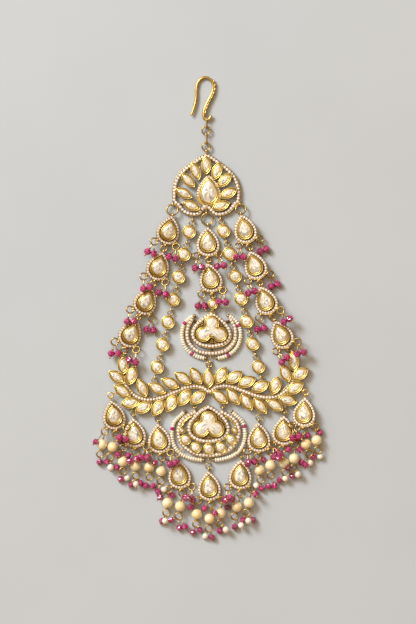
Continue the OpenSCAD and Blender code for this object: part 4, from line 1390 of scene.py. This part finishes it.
@dataclass
class Medallion:
    """A pear-shaped halo round a trefoil stone, with a crescent of white stones below it.

    Attributes:
        name: Which medallion it is.
        halo: x, y, width and length of the halo.
        lobes: Middles of the trefoil's lobes.
        lobe: Radius of a lobe.
        crescent: Half of the crescent's run.
        crescent_width: Width of the crescent.
        crescent_inset: Length left free at the ends of its row of stones.
        facets: Facets round the trefoil's stone.
        stones: Radius and distance of the small white stones, and distance of the grains from their middle.
        to_inner: How much smaller than the halo its inner edge is, in width and length.
        to_stones: How much smaller its row of stones is.
        to_ground: How much smaller the granules' ground is.
        granule: Radius of a granule.
        granule_pitch: Distance between two in a row.
        granule_start: Distance of the first row from the groove.
        granule_step: Distance between two rows.
        granule_rows: Number of rows.
        granule_clear: Room left at the edge of the ground.
    """

    name: str
    halo: Row
    lobes: list[Row]
    lobe: float
    crescent: list[Row]
    crescent_width: float = 1.3
    crescent_inset: float = 0.6
    facets: int = 30
    stones: Row = (0.64, 1.3, 0.5)
    to_inner: Row = (2.5, 2.9)
    to_stones: Row = (1.35, 1.6)
    to_ground: Row = (2.6, 3.0)
    granule: float = 0.36
    granule_pitch: float = 0.78
    granule_start: float = 0.4
    granule_step: float = 0.74
    granule_rows: int = 4
    granule_clear: float = 0.2

    def build(self) -> None:
        """Makes the medallion's pieces."""
        seed = len(self.name) * 7
        x, y, width, length = self.halo
        metal, stones, crown = Form(seed), Form(seed + 1), Form(seed + 2)
        trefoil = Trefoil(tuple(self.lobes), self.lobe)
        setting = Setting(trefoil, placed((x, y)), facets=self.facets)
        setting.dress(metal, crown, TREFOIL_STEPS)
        metal.rim(trefoil, GROOVE, PLATE_TOP, setting.place, TREFOIL_STEPS)
        metal.rim(Pear(width, length), RAIL, HALO_TOP, setting.place, HALO_STEPS)
        metal.rim(self.within(self.to_inner), INNER_RAIL, HALO_TOP, setting.place, HALO_STEPS)
        row = self.within(self.to_stones).points(count=LONG_ROW_STEPS)
        StoneRow(row, self.stones, setting.place).build(stones, metal)
        self.granules(metal, setting.place, trefoil)
        left = smooth_run(shifted(self.crescent, self.halo), 6)
        band = np.vstack([left, mirrored(left, x)[1:]])
        metal.rim(Strip(band, self.crescent_width), RAIL, HALO_TOP)
        StoneRow(band, self.stones, closed=False, inset=self.crescent_inset).build(stones, metal)
        self.extras(metal)
        metal.make(f"{self.name}_medallion_mount", [BEZEL, PRONG_GOLD], Slot.GOLD)
        stones.make(f"{self.name}_medallion_white_stones", [SPARK], Slot.STONE)
        crown.make(f"{self.name}_medallion_crown", [KUNDAN], Slot.STONE, [f"{self.name}_medallion_stone"])

    def within(self, less: Row) -> Pear:
        """A pear inside the halo, smaller in width and length."""
        return Pear(self.halo[2] - less[0], self.halo[3] - less[1])

    def granules(self, metal: Form, place: Points, trefoil: Trefoil) -> None:
        """Fills the plate between the trefoil and the halo with granules on a ground painted dark as shade.

        Args:
            metal: The mesh that they go into, in its second slot.
            place: The medallion's matrix.
            trefoil: Outline of the cup.
        """
        outer = self.within(self.to_ground).points(count=LONG_ROW_STEPS)
        angle = np.arctan2(outer[:, 1], outer[:, 0])
        order = np.argsort(angle)

        def room(plan: Points) -> tuple[Points, Points]:
            """How far points lie from the middle, and how far the ground's edge lies in their direction."""
            there = np.arctan2(plan[:, 1], plan[:, 0])
            edge = np.linalg.norm(outer, axis=1)[order]
            return np.linalg.norm(plan, axis=1), np.interp(there, angle[order], edge, period=2 * np.pi)

        inner = trefoil.points(GROOVE_WIDTH, GROUND_STEPS)
        near, far = room(inner)
        ground = (inner, inner / near[:, None] * np.maximum(far, near)[:, None])
        # The ground is a flat band painted dark as shade between the granules
        metal.stack([moved(raised(p, HALO_TOP + GROUND_LIFT), place) for p in ground], 1, deep=[1.0, 1.0])
        for row in range(self.granule_rows):
            grow = GROOVE_WIDTH + self.granule_start + self.granule_step * row
            at, _ = spaced(trefoil.points(grow, GRANULE_STEPS), self.granule_pitch, True)
            near, far = room(at)
            kept = at[near < far - self.granule_clear]
            balls = [place @ basis(UP, (*p, HALO_TOP + GRANULE_LIFT), 0, self.granule) for p in kept]
            metal.repeat(BALL, balls, 1, deep=0.2, spread=0.35)

    def extras(self, metal: Form) -> None:
        """Adds what only one of the medallions has, which here is nothing.

        Args:
            metal: The mesh of the metal.
        """


@dataclass
class LowerMedallion(Medallion):
    """The lower medallion, with seven round cups between its halo and its crescent.

    Attributes:
        round_wall: Wall of the round cups.
        round_drop: How far they stay under the other cups.
        round_broad: Width of the smallest ones' lips, as a share of the usual one.
        round_gain: Gain of that share for each millimetre of radius.
        rope: Radius of the twisted wires above the crescent.
        rope_lift: Their height over the halo.
    """

    round_wall: float = 0.45
    round_drop: float = 0.3
    round_broad: float = 0.62
    round_gain: float = 0.3
    rope: float = 0.34
    rope_lift: float = 0.35

    def extras(self, metal: Form) -> None:
        """Adds the round cups' lips and stones, and the twisted wires above the crescent.

        Args:
            metal: The mesh of the lips and the wires.
        """
        crowns = Form(77)
        for x, y, r in ROUNDS:
            place = placed((x + self.halo[0], y + self.halo[1]))
            broad = self.round_broad + self.round_gain * (r - ROUNDS[0][2])
            cup = Setting(Round(r), place, CUP_TOP - self.round_drop, stone_wall=self.round_wall + FIT,
                          broad=broad)
            cup.dress(metal, crowns, ROUND_STEPS)
        for side in (-1, 1):
            path = smooth_run(shifted([(side * x, y) for x, y in ROPE], self.halo), 8)
            metal.tube(raised(path, HALO_TOP + self.rope_lift), self.rope, 10, twist=14, lobes=2, lobe=0.3)
        crowns.make("lower_medallion_round_crowns", [KUNDAN], Slot.STONE, ["lower_medallion_small_stones"])


@dataclass
class Garland:
    """The leaf garland: 31 leaf cups on two stems of white stones.

    Attributes:
        middle: The point that it turns about.
        turn: Its turn in degrees.
        leaf: Length and width of a leaf's cup.
        bar: How far a leaf's tie bar runs past its tip.
        stem_width: Width of a stem.
        stem_stones: Radius and distance of its small stones, and distance of the grains from their middle.
        stem_inset: Length left free at the ends of their row.
    """

    middle: Row = (0.1, -30.0)
    turn: float = 1.0
    leaf: Row = (7.8, 4.3)
    bar: float = 0.5
    stem_width: float = 1.7
    stem_stones: Row = (0.6, 1.2, 0.56)
    stem_inset: float = 0.7

    def at(self, row: Row) -> Row:
        """A place on the garland, turned with it."""
        offset = np.array([row[0], row[1] - self.middle[1]])
        return (*(turned(offset, self.turn)[0] + self.middle), *(turn + self.turn for turn in row[2:]))

    def build(self) -> None:
        """Makes the garland's pieces."""
        metal, stones, crowns = Form(31), Form(32), Form(33)
        leaves = [TOP_LEAF, *GARLAND, *[(-x, y, 180 - turn) for x, y, turn in GARLAND]]
        places = [placed(self.at(leaf)) for leaf in leaves]
        TrimmedFrame("leaf_bar_frame", places, self.leaf[0] / 2 + self.bar).build()
        for place in places:
            Setting(Leaf(*self.leaf), place).dress(metal, crowns, LEAF_STEPS)
        for side in (-1, 1):
            path = smooth_run([self.at((side * x, y)) for x, y in STEM], 6)[::side]
            metal.rim(Strip(path, self.stem_width), RAIL, HALO_TOP)
            StoneRow(path, self.stem_stones, closed=False, inset=self.stem_inset).build(stones, metal)
        metal.make("garland_mount", [BEZEL, PRONG_GOLD], Slot.GOLD)
        stones.make("garland_white_stones", [SPARK], Slot.STONE)
        crowns.make("garland_leaf_crowns", [KUNDAN], Slot.STONE, ["leaf_bar_stones"])


@dataclass
class Chains:
    """The two inner chains and the centre link: round cups with cut stones.

    Attributes:
        links: Number of links in a chain.
        radius: Radius of a link's cup.
        shift: How far a link lies past the middle of its joints.
        centre: x, y and radius of the link under the centre strand.
        centre_drop: How far it stays under the other links.
        wall: Wall of the cups.
        broad: Width of their lips, as a share of the usual one.
        dull: How much painted shade the darkest sector of a stone may take.
    """

    links: int = 7
    radius: float = 2.6
    shift: float = 0.35
    centre: Row = (1.8, 1.95, 1.9)
    centre_drop: float = 0.2
    wall: float = 0.6
    broad: float = 1.05
    dull: float = 0.15

    def build(self) -> None:
        """Makes the lips and the stones."""
        metal, crowns = Form(41), Form(42)
        for row in CHAINS.values():
            start, end = np.array(row[:2]), np.array(row[2:])
            step = (end - start) / self.links
            pitch = np.linalg.norm(step)
            turn = math.degrees(math.atan2(step[1], step[0]))
            for k in range(self.links):
                at = start + k * step + (pitch / 2 + self.shift) * step / pitch
                self.cup(metal, crowns, (*at, turn), self.radius, CUP_TOP)
        self.cup(metal, crowns, self.centre[:2], self.centre[2], CUP_TOP - self.centre_drop)
        metal.make("chain_mounts", [BEZEL], Slot.GOLD)
        crowns.make("chain_crowns", [KUNDAN], Slot.STONE, ["chain_stones"])

    def cup(self, metal: Form, crowns: Form, at: Row, radius: float, top: float) -> None:
        """Adds one round cup's lip and stone.

        Args:
            metal: The mesh of the lips.
            crowns: The mesh of the stones.
            at: x, y and, for a link of a chain, the chain's direction in degrees.
            radius: Radius of the cup.
            top: Height of its wall.
        """
        Setting(Round(radius), placed(at), top, stone_wall=self.wall + FIT, broad=self.broad,
                dull=self.dull).dress(metal, crowns, LINK_STEPS)


class Bead(Enum):
    """Kinds of small beads."""

    RUBY = "ruby"
    WHITE = "white"
    DARK = "dark ruby"


# Pixels of the photograph at which the small beads of the fringe lie
FRINGE_BEADS: dict[Bead, list[Row]] = {
    Bead.RUBY: [
        (96, 441.2), (99.7, 461.9), (107.1, 461.3), (117.1, 467.3), (118.1, 454.2), (128.5, 455.2),
        (130.2, 460.9), (136.5, 458.3), (142.6, 457.6), (147.9, 456.6), (120.8, 478.7), (131.2, 484.7),
        (140.2, 482.7), (146.2, 485.4), (153.6, 485.7), (155.2, 462.4), (169.4, 462.4), (176, 462),
        (158, 491.4), (160.3, 496.9), (172.4, 495), (188.1, 496.5), (190.7, 506.8), (162.1, 520.7),
        (171.3, 519.6), (179.3, 527.3), (185.2, 526.2), (204.7, 508.2), (214.9, 512.3), (193.3, 532),
        (199.9, 529.5), (212, 537.2), (220, 530.2), (226.3, 499.4), (230.3, 496.5), (255.7, 493.6),
        (234.7, 526.6), (243.2, 519.6), (252.7, 519.6), (248.3, 461.3), (263.4, 459.6), (261.7, 488.1),
        (255.4, 494.1), (268.1, 486.1), (274.5, 485.8), (278.2, 457.3), (276.5, 450.6), (288.5, 449.3),
        (299.9, 449.3), (279.5, 480.1), (292.2, 476), (298.2, 438.5), (307.6, 435.2), (319.7, 432.2),
        (301.9, 462), (305.3, 464.7), (313.3, 456.6),
    ],
    Bead.WHITE: [
        (110.8, 467), (127.2, 477.7), (136.2, 483.4), (164.3, 489.2), (165.4, 520), (205.4, 535.7),
        (225.9, 529.1), (241, 524.7), (248.3, 520), (256, 485.4), (285.2, 478.1), (297.6, 474), (310, 462.6),
        (320, 456.3),
    ],
    Bead.DARK: [(120.5, 441.2), (227.4, 506.8), (288.5, 467.3)],
}


@dataclass
class SeedStrings:
    """The strings of seed pearls round the medallions, with ruby beads and gilt spacers among them.

    Attributes:
        height: Height of the thread.
        thread: Its radius.
        inset: Length left free at both ends of a string.
        pitch: Distance between two pearls.
        pearl: Radius of a pearl.
        mark_share: How near a marked pixel another bead takes a pearl's place, as a share of the pitch.
        ruby: Radius of a ruby bead.
        ruby_lift: How far it lies above the thread.
        spacer: Radius of a gilt spacer.
        collar: Radius and wire of the ring round it.
    """

    height: float = 0.87
    thread: float = 0.13
    inset: float = 0.5
    pitch: float = 0.98
    pearl: float = 0.98
    mark_share: float = 0.52
    ruby: float = 0.98
    ruby_lift: float = 0.1
    spacer: float = 0.68
    collar: Row = (0.66, 0.14)

    def build(self) -> None:
        """Makes the strings."""
        form = Form(51)
        for halo, knots in ((UPPER, UPPER_STRING), (LOWER, LOWER_STRING)):
            left = smooth_run(shifted(knots, halo), 8)
            for run in (left, mirrored(left, halo[0])):
                self.string(form, run)
        form.make("seed_pearl_strings", [SEED_PEARL, RUBY, WIRE_GOLD], Slot.SEED, ["pearl_strings"])

    def string(self, form: Form, run: Points) -> None:
        """Adds one string.

        Args:
            form: The mesh.
            run: Its run in the plan.
        """
        form.tube(raised(run[::4], self.height), self.thread, 6, 2, deep=0.4)
        places, ways = spaced(raised(run, self.height), self.pitch, inset=self.inset)
        rubies, spacers = ([pixel(u, v) for u, v in marks] for marks in (STRING_RUBIES, STRING_SPACERS))
        for k, (at, way) in enumerate(zip(places, ways)):
            by_ruby, by_spacer = (
                np.linalg.norm(marks - at[:2], axis=1).min() < self.mark_share * self.pitch
                for marks in (rubies, spacers)
            )
            if by_ruby:
                place = basis(way, at + [0, 0, self.ruby_lift], 0, self.ruby)
                # Facets of the ruby bead painted lit and shaded at random
                form.repeat(CUT_BEAD, [place], 1, scatter=0.8)
            elif k in (0, len(places) - 1) or by_spacer:
                form.repeat(BALL, [basis(way, at, 0, self.spacer)], 2, spread=0.2)
                form.ring(at, way, *self.collar, 2, 6, 14)
            else:
                size = self.pearl * form.chance.uniform(0.95, 1.02)
                form.repeat(DISC, [basis(way, at, 0, size)], spread=0.3)


@dataclass
class Pins:
    """Pins, wraps and tips of the beads, with the beads that they hold.

    Attributes:
        wires: The mesh of the wire.
        beads: The mesh of the beads.
        pin: Radius of a pin.
        tip: Radius of the ball at its tip.
        past: How far the ball's middle lies past the bead.
        bare: Length between ring and bead from which a pin is wrapped.
        wrap: Radius of a wrap, its start from the bead's surface and its turns.
        wrap_wire: Radius of the wraps' wire.
    """

    wires: Form
    beads: Form
    pin: float = 0.16
    tip: float = 0.36
    past: float = 0.22
    bare: float = 0.7
    wrap: Row = (0.26, 0.62, 2)
    wrap_wire: float = 0.11

    def coil(self, bead: Points, way: Points, radius: float, wrap: Row, side: int = -1) -> None:
        """Adds a wrap of thin wire round a bead's pin.

        Args:
            bead: Middle of the bead.
            way: Direction of the pin.
            radius: Radius of the bead.
            wrap: Radius of the wrap, its start from the bead's surface and its turns.
            side: Whether it lies ahead of the bead (1) or behind it (-1).
        """
        steps = 9
        size, start, turns = wrap
        count = turns * steps + 1
        rise = 2 * self.wrap_wire * np.arange(count) / steps
        helix = np.column_stack([size * np.tile(unit_circle(steps), (turns + 1, 1))[:count], rise])
        place = basis(way, bead + side * way * (radius + start))
        self.wires.tube(moved(helix, place), self.wrap_wire, 5, deep=0.15)

    def hang(self, start: Points, middle: Points, radius: float, kind: Bead) -> None:
        """Hangs a bead from a point on a pin of its own.

        Args:
            start: Where the pin starts.
            middle: Middle of the bead.
            radius: Radius of the bead.
            kind: Kind of bead.
        """
        way = middle - start
        reach = np.linalg.norm(way)
        way = way / reach
        tip = middle + way * (radius + self.past)
        self.wires.tube(np.array([start, middle, tip]), self.pin, 6)
        self.wires.repeat(BALL, [basis(way, tip, 0, self.tip)], spread=0.2)
        if reach > radius + self.bare:
            self.coil(middle, way, radius, self.wrap)
        place = basis(way, middle, self.beads.chance.uniform(0, 30), radius)
        if kind is Bead.WHITE:
            self.beads.repeat(BALL_FINE, [place], 1, spread=0.2)
        else:
            # Facets of ruby beads painted lit and shaded at random; dark rubies are darker as a whole
            self.beads.repeat(CUT_BEAD, [place], 0, 1.0 if kind is Bead.RUBY else 0.45, scatter=0.85)


@dataclass
class RubyDrops:
    """The pairs of ruby beads under the pears, facetted, with wraps on their pins.

    Attributes:
        fuller: Size of the beads against the solids.
        shell: Distances from a bead's surface between which its pin shows its direction.
        wrap: Radius of a wrap, its start from the bead's surface and its turns.
    """

    fuller: float = 1.12
    shell: Row = (0.08, 1.0)
    wrap: Row = (0.31, 0.75, 3)

    def build(self) -> Points:
        """Makes the beads and the wraps.

        Returns:
            The beads' middles.
        """
        wires, beads = Form(61), Form(62)
        pins = Pins(wires, beads)
        rings = islands("ruby_drop_rings")
        centres = middles("ruby_drop_beads")
        for at in centres:
            reach = [np.linalg.norm(p - at, axis=1) for p in rings]
            held = min(range(len(rings)), key=lambda i: reach[i].min() + np.median(reach[i]))
            near, far = (RUBY_RADIUS + past for past in self.shell)
            tip = rings[held][(reach[held] > near) & (reach[held] < far)].mean(axis=0)
            way = (tip - at) / np.linalg.norm(tip - at)
            place = basis(way, at, beads.chance.uniform(0, 30), RUBY_RADIUS * self.fuller)
            # Facets of the ruby bead painted lit and shaded at random
            beads.repeat(CUT_BEAD, [place], scatter=0.85)
            pins.coil(at, way, RUBY_RADIUS, self.wrap)
        beads.make("ruby_drop_cut_beads", [RUBY], Slot.RUBY, ["ruby_drop_beads"])
        wires.make("ruby_drop_wraps", [WIRE_GOLD], Slot.WIRE)
        return centres


@dataclass
class Fringe:
    """The fringe: wraps and caps of the big pearls, and the small beads that crowd round them.

    Attributes:
        pearl: Radius of a big pearl.
        ring: Radius of a ring.
        turns: Turns of a ring: height, share of the wire, sides and recess, which sets its painted shade.
        loop: A solid of the pearl drops that is smaller than this is a ring, and else a pin.
        head_reach: Distance from a pearl's surface past which its pin shows its direction.
        head_gap: Distance from a pearl's surface at which the loop of its pin begins.
        cap: Radius, start and turns of the wrap below a pearl.
        tail: Radius, start and turns of the wrap above a pearl.
        bead: Radius of a small bead.
        touch: Distance in the plan, as a share of both radii, from which one bead lies on another.
        highest: The greatest height of a small bead.
        hang: Wished distance between a small bead and its ring in the plan.
        above: How much of the way to its ring has to lead up the photograph.
        weight: How much that counts against the distance.
    """

    pearl: float = 2.12
    ring: float = 1.38
    turns: tuple[Row, ...] = ((0.2, 1.0, 8, 0.3), (0.42, 0.6, 6, 0.0))
    loop: float = 4.2
    head_reach: float = 3.1
    head_gap: float = 0.35
    cap: Row = (0.3, -0.08, 2)
    tail: Row = (0.32, 0.9, 4)
    bead: float = 1.3
    touch: float = 0.97
    highest: float = 5.4
    hang: float = 3.0
    above: float = 0.5
    weight: float = 2.5

    def build(self, rubies: Points) -> None:
        """Makes the fringe's small pieces.

        Args:
            rubies: Middles of the ruby drops' beads, which the small beads lie over or beside.
        """
        wires, beads = Form(71), Form(72)
        pins = Pins(wires, beads)
        pearls = middles("fringe_pearls")
        rings, heads = [], []
        for solid in islands("pearl_drop_rings"):
            middle = middle_of(solid)
            if np.ptp(solid[:, :2], axis=0).max() < self.loop:
                rings.append(middle)
                continue
            pearl = pearls[np.linalg.norm(pearls - middle, axis=1).argmin()]
            reach = np.linalg.norm(solid - pearl, axis=1)
            way = (solid[reach > self.pearl + self.head_reach] - pearl).mean(axis=0)
            way[2] = 0
            way /= np.linalg.norm(way)
            heads.append(pearl + way * (self.pearl + self.head_gap + self.ring))
            pins.coil(pearl, way, self.pearl, self.cap, side=1)
            pins.coil(pearl, way, self.pearl, self.tail)
        hooks = np.array(heads + rings)
        for at in hooks:
            for rise, share, sides, deep in self.turns:
                wires.ring(at + [0, 0, rise], UP, self.ring, DROP_WIRE * share, 0, sides, 22, deep)
        spheres = [(*p, self.pearl) for p in pearls] + [(*p, RUBY_RADIUS) for p in rubies]
        for kind, marks in FRINGE_BEADS.items():
            for u, v in marks:
                radius = self.bead * beads.chance.uniform(0.94, 1.06)
                plan = pixel(u, v)
                middle = np.array([*plan, self.rest(plan, radius, spheres)])
                spheres.append((*middle, radius))
                pins.hang(self.root(middle, hooks), middle, radius, kind)
        beads.make("fringe_small_beads", [RUBY, SEED_PEARL], Slot.RUBY)
        wires.make("fringe_pins", [WIRE_GOLD], Slot.WIRE)

    def rest(self, plan: Points, radius: float, spheres: list[Row]) -> float:
        """The height at which a bead comes to lie on the floor or on the round things under it.

        Args:
            plan: The bead's place in the plan.
            radius: Its radius.
            spheres: x, y, z and radius of what lies there already.

        Returns:
            Height of its middle.
        """
        height = radius
        for x, y, z, r in spheres:
            gap = math.hypot(plan[0] - x, plan[1] - y)
            reach = r + radius
            if gap < reach * self.touch:
                rise = math.sqrt(reach**2 - gap**2)
                if abs(height - z) < rise:
                    height = z + rise
        return min(height, self.highest)

    def root(self, middle: Points, hooks: Points) -> Points:
        """The point of the nearest ring above a bead from which its pin hangs.

        Args:
            middle: Middle of the bead.
            hooks: Middles of the rings.

        Returns:
            The point.
        """
        offsets = hooks - middle
        reach = np.linalg.norm(offsets[:, :2], axis=1)
        below = np.maximum(0, self.above - offsets[:, 1] / np.maximum(reach, 0.1))
        best = hooks[(np.abs(reach - self.hang) + self.weight * below).argmin()]
        flat = (middle - best) * [1, 1, 0]
        return best + flat * self.ring / np.linalg.norm(flat)


def circle_of(solid: Points) -> tuple[Points, Points, float]:
    """The circle that runs through the middle of a ring's wire.

    Args:
        solid: Points of the ring.

    Returns:
        Its middle, its axis, which points up, and its radius.
    """
    middle = solid.mean(axis=0)
    _, _, axes = np.linalg.svd(solid - middle, full_matrices=False)
    plan = (solid - middle) @ axes[:2].T
    terms = np.column_stack([2 * plan, np.ones(len(plan))])
    fit = np.linalg.lstsq(terms, (plan**2).sum(axis=1), rcond=None)[0]
    radius = math.sqrt(fit[2] + fit[0] ** 2 + fit[1] ** 2)
    return middle + fit[:2] @ axes[:2], axes[2] * math.copysign(1, axes[2][2]), radius


@dataclass
class Rings:
    """Rings of doubled wire: jump rings, round links under the hook and rings of the ruby drops.

    Attributes:
        jump_wire: Radius of the jump rings' wire.
        second: Radius of a second turn's wire, as a share of the first one's.
        round_link: A hook link that isn't longer than this share of its width is a round ring.
        pin: Length of a ruby bead's pin.
        near: How near the middle of its wire a ring's points lie.
    """

    jump_wire: float = 0.36
    second: float = 0.55
    round_link: float = 1.3
    pin: float = 1.3
    near: float = 0.325

    def build(self, rubies: Points) -> None:
        """Makes the rings.

        Args:
            rubies: Middles of the ruby drops' beads.
        """
        jumps, drops = Form(81), Form(82)
        for solid in islands("jump_rings"):
            self.turns(jumps, *circle_of(solid), self.jump_wire)
        for solid in islands("hook_links"):
            wide, long, _ = np.ptp(solid, axis=0)
            if long < self.round_link * wide:
                self.turns(drops, *circle_of(solid), DROP_WIRE)
        for solid in islands("ruby_drop_rings"):
            reach = np.linalg.norm(solid[:, None] - rubies[None], axis=2).min(axis=1)
            loop = solid[reach > RUBY_RADIUS + self.pin]
            for _ in range(3):
                middle, axis, radius = circle_of(loop)
                off = np.abs(np.linalg.norm(solid - middle, axis=1) - radius)
                loop = solid[(off < self.near) & (np.abs((solid - middle) @ axis) < self.near)]
            self.turns(drops, middle, axis, radius, DROP_WIRE)
        jumps.make("jump_ring_turns", [WIRE_GOLD], Slot.WIRE, ["jump_rings"])
        drops.make("ruby_drop_ring_turns", [WIRE_GOLD], Slot.WIRE)

    def turns(self, form: Form, middle: Points, axis: Points, radius: float, wire: float) -> None:
        """Adds the two turns of a ring.

        Args:
            form: The mesh that they go into.
            middle: Middle of the ring.
            axis: Its axis.
            radius: Its radius.
            wire: Radius of its wire.
        """
        form.ring(middle, axis, radius, wire, deep=0.25)
        form.ring(middle + axis * wire, axis, radius, wire * self.second, sides=6)


@dataclass
class TrimmedFrame:
    """A pierced frame whose tie bars end flush with the rim or the cup that they come out of.

    Attributes:
        node: The frame's node.
        places: Matrices of its cups, whose long axis is the first one.
        reach: Distance from a cup's middle to the ends of its bar.
        half: Half of a bar's width.
        near: How far a point may lie from where it is sought.
    """

    node: str
    places: list[Points]
    reach: float
    half: float = 0.6
    near: float = 0.03

    def build(self) -> None:
        """Makes the trimmed frame, which stands for the solid."""
        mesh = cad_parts[self.node].data.copy()
        points = mesh_points(mesh) / MM - SHIFT
        for place in self.places:
            turn, at = place[:3, :3], place[:3, 3]
            own = (points - at) @ turn
            along = np.abs(own[:, 0])
            side = np.abs(np.abs(own[:, 1]) - self.half) < self.near
            side &= (own[:, 2] < PLATE_TOP) & (along < self.reach + self.near)
            ends = side & (along > self.reach - self.near)
            for k in np.flatnonzero(ends):
                same = side & ~ends & (np.abs(own[:, 2] - own[k, 2]) < self.near)
                same &= (np.sign(own[:, :2]) == np.sign(own[k, :2])).all(axis=1)
                if same.any():
                    own[k, 0] = math.copysign(along[same].max() + self.near, own[k, 0])
            points[ends] = own[ends] @ turn.T + at
        mesh.vertices.foreach_set("co", ((points + SHIFT) * MM).ravel())
        mesh.update()
        piece = linked(f"{self.node}_trimmed", mesh)
        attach(piece, "root")
        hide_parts(self.node)


@dataclass
class Hook:
    """The bent wire hook with a twisted wire along the limb that leads down to the links.

    Attributes:
        wire: Radius of the hook's wire.
        tip: Radius at its tip, as a share of that.
        top: Number of the highest point in the hook's list.
        low: Number of the lowest point there.
        low_height: Height of the wire's middle at that point.
        rib: Radius of the twisted wire.
        rib_out: How far it lies outside the hook's middle.
        rib_up: How far it lies above it.
        rib_pitch: Distance between two of its sections, each twisted further than the one before.
    """

    wire: float = 0.6
    tip: float = 0.72
    top: int = 5
    low: int = 12
    low_height: float = 1.2
    rib: float = 0.36
    rib_out: float = 0.62
    rib_up: float = 0.2
    rib_pitch: float = 0.4

    def build(self) -> None:
        """Makes the hook."""
        form = Form(91)
        steps = 10
        plan = smooth_run(HOOK, steps)
        top, low = HOOK[self.top][1], HOOK[self.low][1]
        rise = (self.low_height - self.wire) * (top - plan[:, 1]) / (top - low)
        path = np.column_stack([plan, self.wire + rise])
        reach = np.arange(len(path)) / (len(path) - 1)
        form.tube(path, self.wire * np.minimum(1.0, self.tip + 4 * reach), 14)
        form.repeat(BALL, [basis(UP, path[-1], 0, self.wire * 1.02)])
        limb = path[(self.top + 1) * steps + 4:(self.low - 1) * steps]
        side = raised(left_of(ways_along(limb)), 0)
        places, _ = spaced(limb + side * self.rib_out + [0, 0, self.rib_up], self.rib_pitch)
        form.tube(places, self.rib, 10, deep=0.1, twist=22, lobes=2, lobe=0.34)
        form.make("hair_hook", [WIRE_GOLD], Slot.WIRE, ["hook"])


@dataclass
class Studio:
    """Pale floor, soft light from the upper left and the camera of the photograph, in metres.

    Attributes:
        half: Half of the floor's side.
        drop: How far the floor lies under the piece.
        key: Direction of the key lamp, whose shine the room repeats.
        away: Its distance, as a multiple of that direction's length.
        camera_height: Height of the camera.
    """

    half: float = 0.9
    drop: float = 0.0001
    key: Row = (-0.85, 0.8, 0.95)
    away: float = 1.4
    camera_height: float = 0.9

    def build(self) -> None:
        """Makes the floor, the lights and the camera."""
        mesh = bpy.data.meshes.new("floor")
        s = self.half
        corners = [(x, y, -self.drop) for x, y in ((-s, -s), (s, -s), (s, s), (-s, s))]
        mesh.from_pydata(corners, [], [(0, 1, 2, 3)])
        mesh.materials.append(FLOOR_PAPER.material())
        floor = linked("floor", mesh)
        self.world()
        key = tuple(self.away * v for v in self.key)
        self.lamp("key", key, size=0.8, power=37.0, colour=(0.92, 0.965, 1.0))
        self.lamp("fill", (0.8, -0.6, 1.4), size=1.0, power=0.5, colour=(1.0, 0.8, 0.58))
        self.camera()
        view = bpy.context.scene.view_settings
        view.view_transform, view.look, view.exposure, view.gamma = "Standard", "None", 0.0, 1.0

    def world(self) -> None:
        """A warm dim room with a pale window and a pale panel overhead."""
        world = bpy.data.worlds.new("pale_room")
        bpy.context.scene.world = world
        g = Graph(world, "Generated")
        soft_box = g.toward(self.key).step(0.62, 0.98)
        overhead = g.toward((-0.12, 0.16, 1.0)).step(0.86, 0.97)
        side_wall = g.toward((1.0, -0.6, 0.35)).step(0.55, 0.95)
        level = soft_box * 1.15 + overhead * 0.95 + side_wall * 0.3 + 0.2
        colour = g.mix((soft_box + overhead).held(), (1.0, 0.57, 0.22), (1.0, 0.88, 0.7))
        room = g.node("ShaderNodeBackground", {}, {"Color": colour, "Strength": level})
        g.end("ShaderNodeOutputWorld", room)

    @staticmethod
    def lamp(name: str, place: Row, size: float, power: float, colour: Colour) -> None:
        """Adds a soft round lamp that looks at the piece.

        Args:
            name: Its name.
            place: Where it stands, in metres.
            size: Its diameter in metres.
            power: Its power in watts.
            colour: Its colour.
        """
        data = bpy.data.lights.new(name, "AREA")
        data.shape, data.size, data.energy, data.color = "DISK", size, power, colour
        lamp = linked(name, data)
        lamp.location = place
        lamp.rotation_euler = Vector(place).to_track_quat("Z", "Y").to_euler()

    def camera(self) -> None:
        """Adds the camera straight above, with a long lens."""
        data = bpy.data.cameras.new("camera")
        data.sensor_fit, data.sensor_height = "VERTICAL", 36.0
        data.lens = data.sensor_height * self.camera_height / (PHOTO_SIZE[1] * PIXEL * MM)
        data.clip_start, data.clip_end = 0.01, 10
        camera = linked("camera", data)
        u, v = PHOTO_SIZE
        camera.location = (*(pixel(u / 2, v / 2) + SHIFT[:2]) * MM, self.camera_height)
        bpy.context.scene.camera = camera


def finish_solids() -> None:
    """Gives every solid of the frame its finish; stones, ruby beads and seed pearls are replaced anyway."""
    finishes = {Slot.GOLD.value: PLAIN_GOLD, Slot.WIRE.value: PLAIN_WIRE}
    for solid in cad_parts.values():
        for index, old in enumerate(solid.data.materials):
            slot = old.name.split(".")[0]
            solid.data.materials[index] = finishes.get(slot, PLAIN_PEARL).material()


def main() -> None:
    """Builds the dressed headpiece in its studio."""
    logging.basicConfig(level=logging.INFO, format="%(name)s: %(message)s")
    finish_solids()
    for strand, rows in PEARS.items():
        for number, row in enumerate(rows, 1):
            PearPiece(f"{strand}_{number}", row).build()
    Lotus().build()
    Medallion("upper", UPPER, UPPER_LOBES, UPPER_LOBE, UPPER_CRESCENT).build()
    LowerMedallion("lower", LOWER, LOWER_LOBES, LOWER_LOBE, LOWER_CRESCENT).build()
    Garland().build()
    Chains().build()
    SeedStrings().build()
    rubies = RubyDrops().build()
    Fringe().build(rubies)
    Rings().build(rubies)
    Hook().build()
    Studio().build()


if __name__ == "__main__":
    main()
